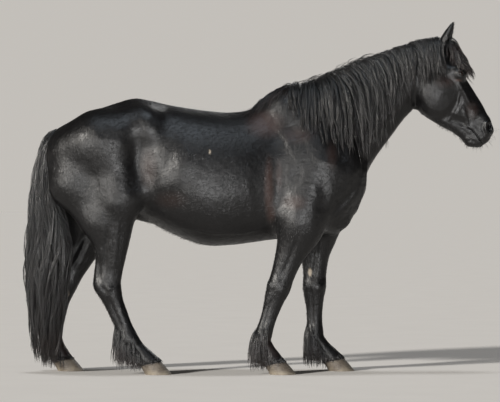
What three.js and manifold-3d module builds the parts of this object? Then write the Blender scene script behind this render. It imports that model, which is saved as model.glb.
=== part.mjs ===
// A black horse of a heavy riding type, standing, life size: one still model parted into its named regions.
// Millimetres. +X runs from tail to muzzle, +Y to the horse's left, +Z up. The origin is on the ground,
// under the middle of the horse's outline. The body is one implicit form: lofted outlines for the trunk,
// neck, head and limbs, with muscle masses blended on. Each region is cast from its own axis as a stack of
// rings, and two regions that meet share the plane they part on.
import * as THREE from 'three';
import { mergeVertices } from 'three/addons/utils/BufferGeometryUtils.js';
import Module from 'manifold-3d';

const wasm = await Module();
wasm.setup();

// ---------- driving dimensions ----------
const CUT_GAP = 0.5;          // half the width of the thin cut between two regions
const CLEARANCE = 1;          // room round an eye or ear
const HAIR_ROOM = 8;          // room left under long hair
const FORE_CUT = 712;         // height at which the forelegs leave the body
const HIND_CUT = 830;         // height at which the thighs pass into the hind legs
const CORONET = [78, 48];     // height of the hoof's upper edge at the toe and at the heel
const RIM = 56;               // half the length of that edge
const TOE_RUN = 64;           // how far the toe stands ahead of the edge on the ground
const HEEL_RUN = 30;          // and the heel
const HOOF_WIDTH = 134;
const EYE_RADIUS = 21;
const EYE = [1096, 84, 1638];
const EAR_ROOT = [1002, 46, 1768];
const EAR_TIP = [1060, 62, 1922];
const TAIL_Y = -20;           // the tail hangs a little to the right
const SIDES = { left: 1, right: -1 };

// ---------- landmarks of the limbs on their centre lines: [x, y, z], y for a left limb ----------
const fore = {
  right: { elbow: [232, 165, 830], knee: [99, 152, 462], fetlock: [14, 148, 190], coronet: [80, 148, 64] },
  left: { elbow: [322, 165, 830], knee: [305, 150, 460], fetlock: [310, 146, 188], coronet: [408, 146, 64] },
};
const hind = {
  right: {
    stifle: [-800, 165, 930],
    hock: [-826, 142, 480],
    fetlock: [-708, 150, 192],
    coronet: [-598, 152, 64],
  },
  left: {
    stifle: [-868, 165, 930],
    hock: [-1084, 142, 480],
    fetlock: [-1146, 148, 192],
    coronet: [-1094, 150, 64],
  },
};
const HIP = [-880, 128, 1230];
const BUTTOCK = [-1022, 86, 1200];

// ---------- outline stations ----------
// [top x, top z, bottom x, bottom z, half width, level of the widest point from 0 at the bottom to 1 at the
// top, fullness above it, fullness below it]
const trunkStations = [
  [566, 1160, 512, 900, 80, 0.5, 2.0, 2.0],
  [538, 1290, 456, 836, 140, 0.5, 2.0, 2.2],
  [450, 1420, 400, 784, 176, 0.48, 1.9, 2.2],
  [330, 1520, 310, 746, 198, 0.45, 1.8, 2.2],
  [180, 1556, 190, 736, 210, 0.42, 1.6, 2.2],
  [70, 1518, 80, 730, 230, 0.42, 1.65, 2.2],
  [-40, 1452, -30, 715, 260, 0.43, 1.9, 2.1],
  [-150, 1432, -160, 699, 284, 0.42, 2.1, 2.1],
  [-270, 1438, -290, 697, 296, 0.42, 2.2, 2.1],
  [-390, 1454, -410, 732, 292, 0.43, 2.2, 2.1],
  [-500, 1473, -520, 782, 268, 0.46, 2.2, 2.1],
  [-600, 1496, -620, 836, 240, 0.5, 2.2, 2.0],
  [-690, 1508, -710, 890, 214, 0.55, 2.2, 2.0],
  [-790, 1482, -800, 920, 200, 0.55, 2.0, 2.0],
  [-890, 1446, -890, 950, 184, 0.55, 1.9, 2.0],
  [-980, 1406, -970, 1010, 146, 0.55, 1.9, 2.0],
  [-1050, 1371, -1035, 1090, 98, 0.55, 2.0, 2.0],
  [-1098, 1342, -1080, 1210, 44, 0.5, 2.0, 2.0],
];
const neckStations = [
  [20, 1480, 470, 930, 175, 0.42, 1.7, 2.1],
  [130, 1542, 560, 1040, 158, 0.42, 1.6, 2.1],
  [250, 1590, 600, 1115, 138, 0.42, 1.5, 2.1],
  [350, 1635, 640, 1182, 122, 0.42, 1.45, 2.1],
  [460, 1685, 686, 1246, 108, 0.42, 1.4, 2.1],
  [570, 1728, 734, 1310, 97, 0.42, 1.4, 2.1],
  [680, 1765, 784, 1376, 90, 0.42, 1.4, 2.1],
  [790, 1800, 832, 1432, 85, 0.44, 1.5, 2.1],
  [880, 1825, 868, 1490, 80, 0.5, 1.7, 2.0],
  [960, 1830, 905, 1590, 70, 0.55, 2.0, 2.0],
];
const headStations = [
  [962, 1834, 852, 1446, 74, 0.55, 2.0, 2.0],
  [1012, 1810, 872, 1436, 87, 0.6, 2.2, 2.2],
  [1062, 1750, 890, 1416, 94, 0.64, 2.4, 2.3],
  [1100, 1682, 914, 1400, 97, 0.66, 2.5, 2.3],
  [1132, 1626, 950, 1380, 90, 0.66, 2.5, 2.3],
  [1163, 1575, 1005, 1348, 78, 0.63, 2.5, 2.3],
  [1195, 1522, 1052, 1324, 65, 0.6, 2.4, 2.2],
  [1226, 1470, 1094, 1294, 56, 0.58, 2.3, 2.2],
  [1251, 1422, 1130, 1262, 53, 0.56, 2.3, 2.2],
  [1266, 1370, 1166, 1246, 55, 0.55, 2.4, 2.2],
  [1268, 1322, 1194, 1242, 50, 0.52, 2.4, 2.2],
  [1256, 1284, 1218, 1242, 36, 0.5, 2.2, 2.0],
];
const tailStations = [
  [-1072, 1356, -1058, 1292, 30, 0.5, 2, 2],
  [-1128, 1342, -1098, 1266, 36, 0.5, 2, 2],
  [-1182, 1286, -1122, 1220, 42, 0.5, 2, 2],
  [-1220, 1180, -1136, 1150, 52, 0.5, 2, 2],
  [-1248, 1030, -1130, 1010, 66, 0.5, 2, 2],
  [-1270, 850, -1060, 840, 80, 0.5, 2, 2],
  [-1286, 670, -1020, 670, 88, 0.5, 2, 2],
  [-1288, 510, -1036, 510, 86, 0.5, 2, 2],
  [-1272, 320, -1066, 320, 76, 0.5, 2, 2],
  [-1250, 150, -1090, 150, 58, 0.5, 2, 2],
  [-1236, 48, -1108, 48, 34, 0.5, 2, 2],
];
// Limb profiles: [place, front radius, back radius, half width]. Place 0 is the elbow or stifle, 1 the knee
// or hock, 2 the fetlock and 3 the coronet.
const foreProfile = [
  [-0.3, 100, 96, 66],
  [0, 112, 106, 76],
  [0.3, 104, 98, 72],
  [0.55, 76, 80, 58],
  [0.8, 66, 67, 50],
  [1, 68, 64, 55],
  [1.16, 58, 60, 47],
  [1.4, 48, 50, 38],
  [1.7, 44, 47, 36],
  [1.9, 49, 52, 42],
  [2, 51, 54, 45],
  [2.4, 42, 42, 40],
  [2.75, 50, 44, 50],
  [3.1, 57, 48, 58],
  [3.5, 60, 50, 60],
];
const hindProfile = [
  [0, 128, 130, 80],
  [0.25, 122, 150, 78],
  [0.45, 108, 106, 69],
  [0.67, 90, 78, 56],
  [0.85, 77, 80, 48],
  [1, 75, 79, 53],
  [1.15, 64, 66, 50],
  [1.32, 52, 58, 42],
  [1.55, 48, 54, 38],
  [1.8, 46, 50, 38],
  [1.92, 50, 54, 43],
  [2, 52, 56, 46],
  [2.4, 43, 43, 41],
  [2.75, 50, 45, 50],
  [3.1, 57, 48, 58],
  [3.5, 60, 50, 60],
];

// ---------- where the regions part: [bottom x, bottom z], [top x, top z] ----------
const NECK_BASE = [[620, 1070], [110, 1560]];
const GIRTH = [[-20, 720], [-20, 1470]];
const LOIN = [[-600, 835], [-600, 1495]];
const THIGH_TOP = [[-650, 850], [-1135, 1265]];
const POLL = [[852, 1446], [962, 1834]];

// ---------- small helpers ----------
const lerp = (a, b, t) => a + (b - a) * t;
const mix = (p, q, t) => p.map((v, i) => lerp(v, q[i], t));
const sided = ([x, y, z], side) => [x, y * side, z];
const range = (n) => Array.from({ length: n }, (_, i) => i);

// Union of two distances with a fillet of about the given width.
function blend(a, b, width) {
  const h = Math.max(width - Math.abs(a - b), 0) / width;
  return Math.min(a, b) - (h * h * width) / 4;
}

// ---------- lofts: planar sections whose planes all hold the Y axis ----------
const BOX_REACH = 160; // how far round its outline a loft is looked for
const END_REACH = 200; // and how far past its end sections
const FAR = 1e4;
function loftFrom(sections) {
  const neighbours = (i) => [sections[Math.max(i - 1, 0)], sections[Math.min(i + 1, sections.length - 1)]];
  sections.forEach((s, i) => {
    const [before, after] = neighbours(i);
    const forward = Math.sign(s.u[0] * (after.c[2] - before.c[2]) - s.u[1] * (after.c[0] - before.c[0]));
    s.n = [-s.u[1] * forward, s.u[0] * forward];
    s.at = i ? before.at + Math.hypot(s.c[0] - before.c[0], s.c[2] - before.c[2]) : 0;
    s.values = [...s.c, ...s.u, s.up, s.down, s.w, s.nu, s.nd];
  });
  sections.forEach((s, i) => {
    const [before, after] = neighbours(i);
    const slope = (p, q, k) => (q.values[k] - p.values[k]) / (q.at - p.at);
    s.slopes = s.values.map((_, k) => {
      if (before === s || after === s) return slope(before, after, k);
      const share = (after.at - s.at) / (after.at - before.at);
      return share * slope(before, s, k) + (1 - share) * slope(s, after, k);
    });
  });
  const edges = (k) => {
    const ends = sections.flatMap((s) => [s.c[2 * k] + s.u[k] * s.up, s.c[2 * k] - s.u[k] * s.down]);
    return [Math.min(...ends) - BOX_REACH, Math.max(...ends) + BOX_REACH];
  };
  return { sections, box: [...edges(0), ...edges(1)] };
}

function outlineLoft(stations, y = 0) {
  return loftFrom(
    stations.map(([tx, tz, bx, bz, w, level, nu, nd]) => {
      const height = Math.hypot(tx - bx, tz - bz);
      const u = [(tx - bx) / height, (tz - bz) / height];
      const c = [lerp(bx, tx, level), y, lerp(bz, tz, level)];
      return { c, u, up: height * (1 - level), down: height * level, w, nu, nd };
    }),
  );
}

// A limb's sections stand across the line through its landmarks.
function limbLoft(landmarks, profile, side) {
  const points = Object.values(landmarks);
  const at = (t) => {
    const i = Math.min(Math.max(Math.floor(t), 0), points.length - 2);
    return mix(points[i], points[i + 1], t - i);
  };
  return loftFrom(
    profile.map(([t, front, back, w]) => {
      const p = at(t - 0.12);
      const q = at(t + 0.12);
      const d = Math.hypot(q[0] - p[0], q[2] - p[2]);
      const u = [(p[2] - q[2]) / d, (q[0] - p[0]) / d];
      return { place: t, c: sided(at(t), side), u, up: front, down: back, w, nu: 2.1, nd: 2.1 };
    }),
  );
}

// Where a place along a limb falls among its sections.
function indexAt({ sections }, place) {
  const i = sections.findIndex((s) => s.place > place) - 1;
  return i + (place - sections[i].place) / (sections[i + 1].place - sections[i].place);
}

// A loft's values at share t of the way from section i to section i + 1.
function between(sections, i, t) {
  const a = sections[i];
  const b = sections[i + 1];
  const span = b.at - a.at;
  const t2 = t * t;
  const t3 = t2 * t;
  const ease = 3 * t2 - 2 * t3;
  return a.values.map(
    (v, k) => lerp(v, b.values[k], ease) + span * (a.slopes[k] * (t3 - 2 * t2 + t) + b.slopes[k] * (t3 - t2)),
  );
}

// About how far (x, y, z) lies outside the section with these values, within its plane.
function sectionDistance(values, x, y, z) {
  const [cx, cy, cz, ux, uz, up, down, w, nu, nd] = values;
  const u = (x - cx) * ux + (z - cz) * uz;
  const h = u >= 0 ? up : down;
  const n = u >= 0 ? nu : nd;
  const a = Math.abs(u) / h;
  const b = Math.abs(y - cy) / w;
  const r = (a ** n + b ** n) ** (1 / n);
  if (r < 1e-6) return -Math.min(h, w);
  return (r - 1) / Math.hypot((a / r) ** (n - 1) / h, (b / r) ** (n - 1) / w);
}

function loftDistance({ sections, box }, x, y, z) {
  if (x < box[0] || x > box[1] || z < box[2] || z > box[3]) return FAR;
  const plane = (s) => (x - s.c[0]) * s.n[0] + (z - s.c[2]) * s.n[1];
  const last = sections.length - 1;
  let best = FAR;
  let d0 = plane(sections[0]);
  if (d0 < 0 && d0 > -END_REACH) best = Math.max(sectionDistance(sections[0].values, x, y, z), -d0);
  for (let i = 0; i < last; i += 1) {
    const d1 = plane(sections[i + 1]);
    if (d0 >= 0 && d1 < 0) {
      best = Math.min(best, sectionDistance(between(sections, i, d0 / (d0 - d1)), x, y, z));
    }
    d0 = d1;
  }
  if (d0 >= 0 && d0 < END_REACH) {
    best = Math.min(best, Math.max(sectionDistance(sections[last].values, x, y, z), d0));
  }
  return best;
}

// ---------- muscle masses: tapered capsules from a to b, flattened sideways ----------
function mass(a, b, ra, rb, flat, fillet) {
  const r = Math.max(ra, rb) + fillet;
  const low = a.map((v, k) => Math.min(v, b[k]) - r);
  const high = a.map((v, k) => Math.max(v, b[k]) + r);
  return { a, b, ra, rb, flat, fillet, low, high };
}

function massDistance(m, x, y, z) {
  const p = [x - m.a[0], y - m.a[1], z - m.a[2]];
  const d = m.b.map((v, k) => v - m.a[k]);
  const long = d[0] ** 2 + d[1] ** 2 + d[2] ** 2;
  const t = long > 0 ? Math.min(Math.max((p[0] * d[0] + p[1] * d[1] + p[2] * d[2]) / long, 0), 1) : 0;
  const qx = p[0] - t * d[0];
  const qy = (p[1] - t * d[1]) / m.flat;
  const qz = p[2] - t * d[2];
  const q = Math.hypot(qx, qy, qz);
  if (q < 1e-6) return -Math.min(m.ra, m.rb);
  return ((q - lerp(m.ra, m.rb, t)) * q) / Math.hypot(qx, qy / m.flat, qz);
}

function near(m, x, y, z) {
  return x > m.low[0] && x < m.high[0] && y > m.low[1] && y < m.high[1] && z > m.low[2] && z < m.high[2];
}

function sideMasses(name, side) {
  const { stifle, hock } = hind[name];
  const { elbow, knee } = fore[name];
  const on = (x, y, z) => [x, y * side, z];
  const gaskin = mix(stifle, hock, 0.3);
  const kneecap = [stifle[0] + 62, stifle[1] + 8, stifle[2] + 45];
  const breech = [lerp(-1030, gaskin[0] - 160, 0.25), 118, 1030];
  return [
    // haunch, thigh and fold of the flank
    mass(on(-636, 162, 1362), on(-860, 150, 1268), 68, 116, 0.85, 120),
    mass(on(-880, 112, 1270), on(...BUTTOCK), 126, 116, 0.88, 110),
    mass(on(...HIP), on(...kneecap), 160, 88, 0.74, 110),
    mass(on(...BUTTOCK), on(...breech), 116, 112, 0.8, 90),
    mass(on(...breech), on(gaskin[0] - 88, 146, gaskin[2] + 50), 110, 76, 0.75, 100),
    mass(on(-620, 118, 1110), on(...kneecap), 52, 60, 0.7, 110),
    // shoulder, upper arm and breast
    mass(on(160, 78, 1450), on(420, 124, 1110), 70, 104, 0.6, 120),
    mass(on(430, 122, 1085), on(...mix(elbow, knee, -0.02)), 98, 96, 0.72, 110),
    mass(on(250, 138, 1120), on(200, 164, 910), 136, 84, 0.52, 110),
    mass(on(470, 62, 1010), on(425, 72, 860), 88, 78, 0.8, 90),
    // brow, cheek, cheekbone, nostril and root of the ear
    mass(on(1070, 68, 1656), on(1102, 72, 1632), 35, 33, 0.9, 34),
    mass(on(935, 50, 1590), on(958, 48, 1482), 84, 74, 0.46, 50),
    mass(on(1108, 66, 1566), on(1156, 48, 1484), 15, 12, 1, 34),
    mass(on(1236, 28, 1380), on(1246, 25, 1330), 31, 29, 0.85, 34),
    mass(on(996, 40, 1776), on(1010, 46, 1800), 32, 26, 0.85, 30),
  ];
}

// ---------- the body ----------
const trunk = outlineLoft(trunkStations);
const neck = outlineLoft(neckStations);
const head = outlineLoft(headStations);
const limbs = {};
const masses = [
  mass([1160, 0, 1274], [1198, 0, 1265], 34, 26, 1.25, 26), // chin
  mass([1236, 0, 1292], [1250, 0, 1330], 30, 38, 1.2, 30),  // upper lip
  mass([-676, 0, 878], [-626, 0, 864], 40, 32, 0.9, 44),    // sheath
];
for (const [name, side] of Object.entries(SIDES)) {
  limbs[`fore_${name}`] = limbLoft(fore[name], foreProfile, side);
  limbs[`hind_${name}`] = limbLoft(hind[name], hindProfile, side);
  masses.push(...sideMasses(name, side));
}

function bodyDistance(x, y, z) {
  let d = blend(loftDistance(trunk, x, y, z), loftDistance(neck, x, y, z), 60);
  d = blend(d, loftDistance(head, x, y, z), 36);
  for (const limb of Object.values(limbs)) d = blend(d, loftDistance(limb, x, y, z), 50);
  for (const m of masses) if (near(m, x, y, z)) d = blend(d, massDistance(m, x, y, z), m.fillet);
  return d;
}

// ---------- solids ----------
// A closed geometry from rings of equally many points. An end closes on its own hub, or on the ring's middle.
// The quads' diagonals mirror from one half of a ring to the other, so the two faces of a pad match.
function stackGeometry(rings, hubs = []) {
  const count = rings[0].length;
  const positions = rings.flat(2);
  const index = [];
  for (const i of range(rings.length - 1)) {
    for (const j of range(count)) {
      const a = i * count + j;
      const b = i * count + ((j + 1) % count);
      const c = b + count;
      const d = a + count;
      index.push(...(j < count / 2 ? [a, b, c, a, c, d] : [a, b, d, b, c, d]));
    }
  }
  [0, rings.length - 1].forEach((i, end) => {
    const middle = [0, 1, 2].map((k) => rings[i].reduce((sum, p) => sum + p[k], 0) / count);
    const hub = positions.length / 3;
    positions.push(...(hubs[end] ?? middle));
    for (const j of range(count)) {
      const a = i * count + j;
      const b = i * count + ((j + 1) % count);
      index.push(...(end ? [a, b, hub] : [b, a, hub]));
    }
  });
  const geometry = new THREE.BufferGeometry();
  geometry.setAttribute('position', new THREE.Float32BufferAttribute(positions, 3));
  geometry.setIndex(index);
  return geometry;
}

function toManifold(geometry) {
  const bare = geometry.clone();
  bare.deleteAttribute('normal');
  bare.deleteAttribute('uv');
  const merged = mergeVertices(bare, 1e-3);
  return new wasm.Manifold(
    new wasm.Mesh({
      numProp: 3,
      vertProperties: new Float32Array(merged.attributes.position.array),
      triVerts: new Uint32Array(merged.index.array),
    }),
  );
}

// The solid of a stack of rings, facing out whichever way the rings run.
function solid(rings, hubs) {
  const made = toManifold(stackGeometry(rings, hubs));
  if (made.volume() > 0) return made;
  return toManifold(stackGeometry(rings.map((ring) => [...ring].reverse()), hubs));
}

const STRIDE = 8; // coarse step of a ray on its way to the surface
function castRay(distance, c, dir, reach) {
  const inside = (r) => distance(c[0] + dir[0] * r, c[1] + dir[1] * r, c[2] + dir[2] * r) < 0;
  let low = 0;
  while (low < reach && inside(low + STRIDE)) low += STRIDE;
  let high = low + STRIDE;
  for (const _ of range(8)) {
    const middle = (low + high) / 2;
    if (inside(middle)) low = middle;
    else high = middle;
  }
  return Math.max(low, 1);
}
const along = (c, dir, r) => [c[0] + dir[0] * r, c[1] + dir[1] * r, c[2] + dir[2] * r];

// A slice is a plane to cast one ring in: its centre c and its upward direction u in the side view.
const lineSlice = ([[bx, bz], [tx, tz]], y = 0) => {
  const d = Math.hypot(tx - bx, tz - bz);
  return { c: [(bx + tx) / 2, y, (bz + tz) / 2], u: [(tx - bx) / d, (tz - bz) / d] };
};
const slicesBetween = (from, to, steps, y = 0) =>
  range(steps + 1).map((k) => lineSlice([mix(from[0], to[0], k / steps), mix(from[1], to[1], k / steps)], y));

// Slices through a loft's own sections, from place `from` to place `to`.
function loftSlices({ sections }, from, to, steps) {
  return range(steps + 1).map((k) => {
    const s = lerp(from, to, k / steps);
    const i = Math.min(Math.floor(s), sections.length - 2);
    const [cx, cy, cz, ux, uz, up, down] = between(sections, i, s - i);
    const middle = (up - down) / 2;
    const long = Math.hypot(ux, uz);
    return { c: [cx + ux * middle, cy, cz + uz * middle], u: [ux / long, uz / long] };
  });
}

// Both end slices drawn in, so that a region stops short of the planes it parts on, or for room pushed out
// by the lift.
function fitted(slices, lift) {
  const by = lift ? -lift : CUT_GAP;
  const shift = (s, towards) => {
    const n = [-s.u[1], s.u[0]];
    const sign = Math.sign((towards.c[0] - s.c[0]) * n[0] + (towards.c[2] - s.c[2]) * n[1]);
    return { ...s, c: [s.c[0] + n[0] * sign * by, s.c[1], s.c[2] + n[1] * sign * by] };
  };
  const last = slices.length - 1;
  return [shift(slices[0], slices[1]), ...slices.slice(1, last), shift(slices[last], slices[last - 1])];
}

function castSlices(slices, segments, { distance = bodyDistance, reach = 640, lift = 0, dome = false } = {}) {
  const lifted = (x, y, z) => distance(x, y, z) - lift;
  const rings = slices.map(({ c, u }) =>
    range(segments).map((j) => {
      const angle = (2 * Math.PI * j) / segments;
      const dir = [u[0] * Math.cos(angle), Math.sin(angle), u[1] * Math.cos(angle)];
      return along(c, dir, castRay(lifted, c, dir, reach));
    }),
  );
  if (!dome) return solid(rings);
  const { c, u } = slices[slices.length - 1];
  const ahead = [u[1], 0, -u[0]];
  return solid(rings, [undefined, along(c, ahead, castRay(lifted, c, ahead, reach))]);
}

// Everything above a level, as a solid.
const REGION = 4000;
function above(z) {
  return toManifold(new THREE.BoxGeometry(REGION, REGION, REGION).translate(0, 0, z + REGION / 2));
}

const headSlices = () => loftSlices(head, 0, headStations.length - 1.1, 16);

// The fleshy regions of the trunk, neck and head. With a lift they come out larger all round, as the room
// to cut out of what lies on them.
function trunkRegions(lift = 0) {
  const cast = (slices, segments, options) => castSlices(fitted(slices, lift), segments, { lift, ...options });
  const toForelegs = (x, y, z) => Math.max(bodyDistance(x, y, z), FORE_CUT - 40 - z);
  const regions = {
    forequarters: cast(slicesBetween(GIRTH, NECK_BASE, 11), 28, { distance: toForelegs })
      .intersect(above(FORE_CUT + CUT_GAP)),
    barrel: cast(slicesBetween(LOIN, GIRTH, 8), 28),
    hindquarters: cast(slicesBetween(LOIN, THIGH_TOP, 10), 28),
    neck: cast(slicesBetween(NECK_BASE, POLL, 11), 26),
    head: cast(headSlices(), 24, { dome: true }),
  };
  for (const [name, side] of Object.entries(SIDES)) {
    const { stifle, hock } = hind[name];
    const foot = mix(stifle, hock, (stifle[2] - HIND_CUT) / (stifle[2] - hock[2]));
    const flat = [[foot[0] + 190, HIND_CUT], [foot[0] - 160, HIND_CUT]];
    const limit = (x, y) => Math.max(CUT_GAP - y * side, x - LOIN[0][0] + CUT_GAP);
    const distance = (x, y, z) => Math.max(bodyDistance(x, y, z), limit(x, y));
    regions[`thigh_${name}`] = cast(slicesBetween(THIGH_TOP, flat, 8, 130 * side), 22, { distance });
  }
  return regions;
}

// Where a limb's centre line passes a height, counted in sections from its top.
function indexAtHeight(sections, z) {
  const i = sections.findIndex((s) => s.c[2] <= z) - 1;
  return i + (sections[i].c[2] - z) / (sections[i].c[2] - sections[i + 1].c[2]);
}

// A slice across a limb where its centre line passes a height, level or dropping to the back.
function levelSlice({ sections }, z, drop = 0) {
  const s = indexAtHeight(sections, z);
  const i = Math.floor(s);
  const long = Math.hypot(1, drop);
  return { c: mix(sections[i].c, sections[i + 1].c, s - i), u: [1 / long, drop / long] };
}

const CORONET_DROP = (CORONET[0] - CORONET[1]) / 130;
const rimSlice = (limb) => levelSlice(limb, (CORONET[0] + CORONET[1]) / 2, CORONET_DROP);
const JOINT_CUT = 0.86;   // place of the cut above the knee or hock
const FETLOCK_CUT = 1.85; // and of the one above the fetlock

// Slices that turn evenly from one plane across a limb to another.
function fan({ sections }, from, to, steps) {
  const i = indexAtHeight(sections, from.c[2]);
  const j = indexAtHeight(sections, to.c[2]);
  return range(steps + 1).map((k) => {
    const s = lerp(i, j, k / steps);
    const at = Math.min(Math.floor(s), sections.length - 2);
    const c = between(sections, at, s - at).slice(0, 3);
    const u = mix(from.u, to.u, k / steps);
    const long = Math.hypot(...u);
    return { c, u: [u[0] / long, u[1] / long] };
  });
}

function limbRegions(name, limb, top, names, lift = 0) {
  const across = (place) => {
    const i = indexAt(limb, place);
    return loftSlices(limb, i, i, 1)[0];
  };
  const cuts = [levelSlice(limb, top), across(JOINT_CUT), across(FETLOCK_CUT), rimSlice(limb)];
  const regions = {};
  names.forEach((part, k) => {
    const slices = fitted(fan(limb, cuts[k], cuts[k + 1], [4, 7, 5][k]), lift);
    regions[`${part}_${name}`] = castSlices(slices, k ? 14 : 16, { reach: 260, lift });
  });
  return regions;
}

// A hoof: a wall that leans forward from the coronet to a flat sole, broad in the toe, narrower at the heel.
function hoof(limb, lift = 0) {
  const rim = rimSlice(limb);
  const half = (2 * RIM + TOE_RUN - HEEL_RUN) / 2;
  const count = lift ? 12 : 18;
  const rings = (lift ? [0, 1] : [0, 0.5, 1]).map((t) =>
    range(count).map((j) => {
      const angle = (2 * Math.PI * (j + 0.5)) / count;
      const ahead = Math.cos(angle);
      const across = Math.sin(angle) * (ahead < 0 ? 1 - 0.12 * ahead * ahead : 1);
      const x = lerp((TOE_RUN + HEEL_RUN) / 2, 0, t) + (lerp(half, RIM, t) + lift) * ahead;
      const y = (lerp(HOOF_WIDTH / 2, 59, t) + lift) * across;
      return [rim.c[0] + x, rim.c[1] + y, t * (rim.c[2] + CORONET_DROP * x + (lift || -2 * CUT_GAP))];
    }),
  );
  return solid(rings);
}

// A ring of points round a centre in a level plane, half the given length and width.
function levelRing([x, y, z], long, wide, count) {
  return range(count).map((j) => {
    const angle = (2 * Math.PI * (j + 0.5)) / count;
    return [x + long * Math.cos(angle), y + wide * Math.sin(angle), z];
  });
}

// The long hair that hangs from the back of the fetlock over the heel, as rows of
// [height, back edge and front edge from the fetlock's centre, half width].
const featherShift = { fore_right: -16, fore_left: 2, hind_right: 8, hind_left: 0 };
const featherRows = [
  [238, -56, 4, 28],
  [196, -64, 26, 54],
  [140, -60, 56, 58],
  [84, -50, 84, 66],
  [14, -38, 92, 68],
];
function feather({ sections }, shift) {
  const fetlock = sections.find((s) => s.place === 2).c;
  return solid(
    featherRows.map(([z, back, front, wide]) =>
      levelRing([fetlock[0] + (back + shift + front) / 2, fetlock[1], z], (front - back - shift) / 2, wide, 10),
    ),
  );
}

// An ear: a leaf-shaped cup, hollowed from in front. Rows of [share of the length, half depth, half width].
const earRows = [
  [0, 34, 29],
  [0.25, 35, 31],
  [0.5, 31, 28],
  [0.75, 20, 18],
  [1, 4, 4],
];
function ear(side) {
  const root = sided(EAR_ROOT, side);
  const tip = sided(EAR_TIP, side);
  const leaf = (rows, scale, [dx, dy]) =>
    solid(
      rows.map(([t, long, wide]) => {
        const [x, y, z] = mix(root, tip, t);
        return levelRing([x + dx, y + dy * side, z], long * scale, wide * scale, 10);
      }),
    );
  const hollow = earRows.slice(1).map(([t, long, wide]) => [t * 0.94 + 0.06, long, wide]);
  return leaf(earRows, 1, [0, 0]).subtract(leaf(hollow, 0.8, [16, 8]));
}

// The value of a table of [place, value] rows at a place between its first and last.
function valueAt(rows, place) {
  const i = Math.max(rows.findIndex((row) => row[0] >= place), 1) - 1;
  const [[p0, v0], [p1, v1]] = rows.slice(i, i + 2);
  return lerp(v0, v1, (place - p0) / (p1 - p0));
}
const spread = (from, to, n) => range(n).map((k) => lerp(from, to, k / (n - 1)));

// A pad that lies on the body: columns of rays, each with its origin, its direction, the room left under the
// pad and the pad's depth.
function pad(columns) {
  const rings = columns.map((rays) => {
    const starts = rays.map(({ c, dir, room = HAIR_ROOM }) => castRay(bodyDistance, c, dir, 500) + room);
    const outer = rays.map(({ c, dir, depth }, j) => along(c, dir, starts[j] + depth));
    const inner = rays.map(({ c, dir }, j) => along(c, dir, starts[j]));
    return [...outer, ...inner.reverse()];
  });
  return solid(rings);
}
const aside = (degrees, side) => {
  const angle = (degrees * Math.PI) / 180;
  return [0, side * Math.sin(angle), Math.cos(angle)];
};

// The mane leaves the crest and hangs down the right side, longest in mid-neck. Rows of [x, length].
const maneLength = [
  [176, 110],
  [230, 210],
  [300, 340],
  [410, 480],
  [520, 530],
  [600, 500],
  [700, 370],
  [780, 290],
  [860, 245],
  [936, 250],
];
const MANE_DEPTH = 20;
const MANE_COLUMNS = 12;
function maneSolid() {
  return pad(
    spread(176, 936, MANE_COLUMNS).map((x, k) => {
      const share = k / (MANE_COLUMNS - 1);
      const length = valueAt(maneLength, x) * (k % 2 ? 1.03 : 0.97);
      const under = lerp(1440, 1680, share);
      const crest = under + castRay(bodyDistance, [x, 0, under], [0, 0, 1], 500);
      const fall = Math.min(70, length);
      const rays = [-52, -24, 0, 24, 52].map((a) => ({ c: [x, 0, crest - fall], dir: aside(a, SIDES.right) }));
      for (const z of spread(crest - fall, crest - length, 6)) {
        rays.push({ c: [x, 0, z], dir: [0, SIDES.right, 0] });
      }
      const room = HAIR_ROOM + 12 * Math.abs(2 * share - 1) ** 4;
      const full = MANE_DEPTH * Math.min(length / 240, 1);
      return rays.map((ray, j) => {
        const atEdge = j === 0 || j === rays.length - 1;
        return { ...ray, room, depth: 3 + full * (atEdge ? 0.2 : 1) };
      });
    }),
  );
}

// The forelock falls from between the ears over the forehead. Rows of [place along the head, depth] and
// [place, degrees it spreads to each side].
const forelockDepth = [[0.6, 8], [1, 20], [1.5, 38], [2, 48], [2.6, 54], [3.2, 50], [3.8, 36], [4.3, 10]];
const forelockSpread = [[0.6, 3], [1, 3.5], [1.5, 4.5], [1.9, 14], [2.6, 24], [3.2, 23], [4.3, 20]];
function forelockSolid() {
  return pad(
    spread(0.6, 4.3, 9).map((place) => {
      const { c, u } = loftSlices(head, place, place, 1)[0];
      return spread(-1, 1, 7).map((share) => {
        const angle = (share * valueAt(forelockSpread, place) * Math.PI) / 180;
        const dir = [u[0] * Math.cos(angle), Math.sin(angle), u[1] * Math.cos(angle)];
        return { c, dir, depth: valueAt(forelockDepth, place) * (1 - 0.7 * share * share) };
      });
    }),
  );
}

// A piece of hair lofted from outline stations.
function hairSolid(stations, y, steps, segments) {
  const loft = outlineLoft(stations, y);
  const slices = loftSlices(loft, 0.01, stations.length - 1.01, steps);
  return castSlices(slices, segments, { distance: (...p) => loftDistance(loft, ...p), reach: 300 });
}

// A groove or tube along a line of points, for the mouth and the nostrils.
function tube(points, radii, count) {
  const curve = new THREE.CatmullRomCurve3(points.map((p) => new THREE.Vector3(...p)));
  const frames = curve.computeFrenetFrames(points.length - 1, false);
  return solid(
    points.map((p, i) =>
      range(count).map((j) => {
        const angle = (2 * Math.PI * j) / count;
        const n = frames.normals[i].toArray();
        const b = frames.binormals[i].toArray();
        const r = radii[i];
        return p.map((v, k) => v + r * (n[k] * Math.cos(angle) + b[k] * Math.sin(angle)));
      }),
    ),
  );
}

// Where a level line across the head at (x, z) leaves its left side.
const skinPoint = ([x, z], side, out = 0) => {
  const r = castRay(bodyDistance, [x, 0, z], [0, side, 0], 200) + out;
  return [x, r * side, z];
};
const LIP_LINE = [[1134, 1343], [1160, 1334], [1186, 1312], [1206, 1286], [1220, 1262]];
const NOSTRIL = [[1243, 1372], [1256, 1360], [1261, 1340], [1257, 1322]];

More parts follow.
